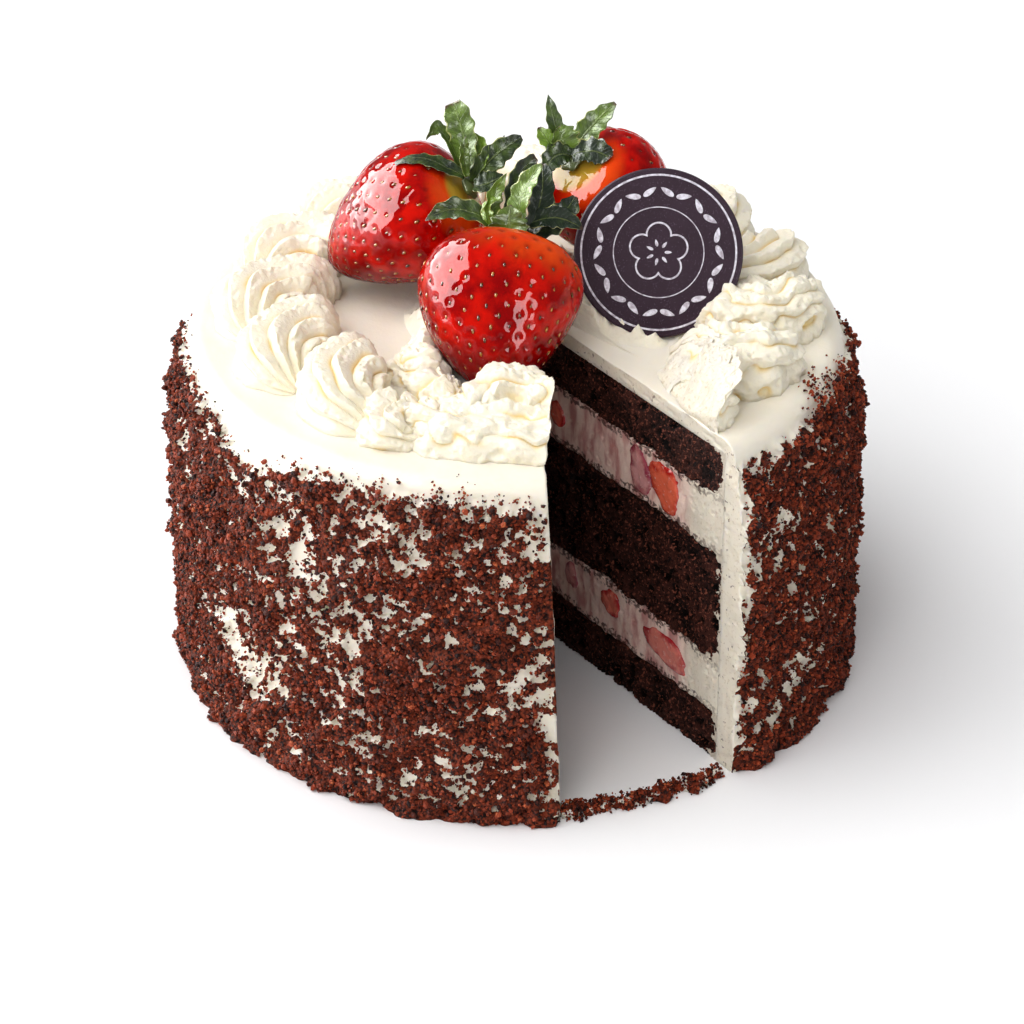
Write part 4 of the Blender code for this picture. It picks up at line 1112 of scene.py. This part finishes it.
def ribbon(path, width):
    """The cross-sections of a flat printed line along a closed path in the plaque's plane."""
    along = unit(np.roll(path, -1, 0) - np.roll(path, 1, 0))
    normal = np.stack((-along[:, 1], along[:, 0]), -1)
    sides = [np.insert(path + normal * width / 2 * sign, 2, lift, axis=1)
             for sign, lift in ((-1, 0.0), (-1, PRINT_THICKNESS), (1, PRINT_THICKNESS), (1, 0.0))]
    return np.stack(sides, 1)


def ring(radius, angle):
    """Places round the plaque's middle."""
    return np.stack((radius * np.cos(angle), radius * np.sin(angle)), -1)


def drop(middle, angle, length, width):
    """A small pointed leaf as an outline of points."""
    t = round_angles(24)
    x, y = length / 2 * np.cos(t), width / 2 * np.sin(t) * np.abs(np.sin(t / 2)) ** 0.6
    c, s = math.cos(angle), math.sin(angle)
    return np.stack((middle[0] + x * c - y * s, middle[1] + x * s + y * c), -1)


whole, petal = round_angles(120), round_angles(200)
petals = ring(5.4 + 2.6 * np.abs(np.cos(2.5 * petal)) ** 0.7, petal + 0.3)
dots = [drop(ring(16.5, a), a + 1.1 * (1 if k % 2 else -1), 4.2, 1.9)
        for k, a in enumerate(round_angles(22))]
dots += [drop(ring(2.6, a), a, 2.0, 1.0) for a in round_angles(7)]
body = Body()
for path, wide in ((ring(20.9, whole), 0.55), (ring(12.2, whole), 0.3), (petals, 0.5)):
    index = body.add(printed(ribbon(path, wide)))
    body.faces += quads(np.concatenate((index, index[:, :1]), 1), closed=True)
for dot in dots:
    levels = np.stack([np.insert(dot, 2, lift, axis=1) for lift in (0.0, PRINT_THICKNESS)])
    low, high = body.add(printed(levels))
    body.faces += quads(np.stack((low, high), -1), closed=True) + [low, high]
white_print = Finish("white_print", Roughness=0.5)
worn = white_print.noise(1.2, 3).ease(0.3, 0.75)
white_print.paint(worn, tint(232, 230, 240), tint(170, 160, 172))
piece = body.piece("plaque_print", white_print, smooth=False)


# ------------------------------------------------------------------------------------------
# Studio. A white table and background, soft light from a window on the left, a lamp in front,
# the ceiling and the right, and two lights that only show in what shines. The camera looks down
# by 31 degrees.

bpy.ops.mesh.primitive_plane_add(size=30.0)
floor = bpy.context.object
floor.name = "table"
paper = Finish("white_table", Roughness=0.6)
paper.paint(paper.noise(120, 2), (0.97, 0.97, 0.98, 1), (0.99, 0.99, 1.0, 1))
floor.data.materials.append(paper.material)

CAKE_MIDDLE = Vector((0.0, 0.0, 0.06))


def soft_light(name, place, size, power, matt=True, gloss=True):
    """A light that looks at the cake; matt and gloss tell whether it lights and whether it shines."""
    data = bpy.data.lights.new(name, "AREA")
    data.shape = "RECTANGLE"
    data.size, data.size_y = size
    data.energy = power
    light = bpy.data.objects.new(name, data)
    light.location = place
    light.rotation_euler = (CAKE_MIDDLE - Vector(place)).to_track_quat("-Z", "Y").to_euler()
    light.visible_diffuse, light.visible_glossy = matt, gloss
    bpy.context.scene.collection.objects.link(light)


soft_light("window", (-2.5, 0.35, 1.6), (3.6, 3.2), 36.0, gloss=False)
soft_light("window_shine", (-2.5, 0.45, 1.45), (4.2, 3.6), 725.0, matt=False)
soft_light("lamp", (-1.4, -4.6, 3.0), (2.0, 1.6), 50.0, gloss=False)
soft_light("lamp_shine", (2.5, -3.0, 0.9), (1.3, 2.4), 120.0, matt=False)
soft_light("right", (4.4, 1.6, 3.4), (3.0, 3.0), 56.0, gloss=False)
soft_light("ceiling", (-1.2, -0.7, 2.5), (3.4, 3.4), 80.0, gloss=False)

world = bpy.data.worlds.new("white_room")
world.use_nodes = True
world.node_tree.nodes["Background"].inputs["Color"].default_value = (1, 1, 1, 1)
world.node_tree.nodes["Background"].inputs["Strength"].default_value = 0.25
bpy.context.scene.world = world
bpy.context.scene.view_settings.view_transform = "Standard"
bpy.context.scene.view_settings.gamma = 0.9

LOOK_DOWN = math.radians(31.45)
SENSOR = 36.0
FOCAL_PIXELS, PHOTO_WIDTH = 3923.0, 1024.0      # focal length and width of the picture, in pixels
lens = bpy.data.cameras.new("camera")
lens.sensor_width = SENSOR
lens.lens = SENSOR * FOCAL_PIXELS / PHOTO_WIDTH
lens.shift_x = -0.00244
camera = bpy.data.objects.new("camera", lens)
camera.location = (0.0, -0.9384, 0.6129)
camera.rotation_euler = (math.pi / 2 - LOOK_DOWN, 0.0, 0.0)
bpy.context.scene.collection.objects.link(camera)
bpy.context.scene.camera = camera
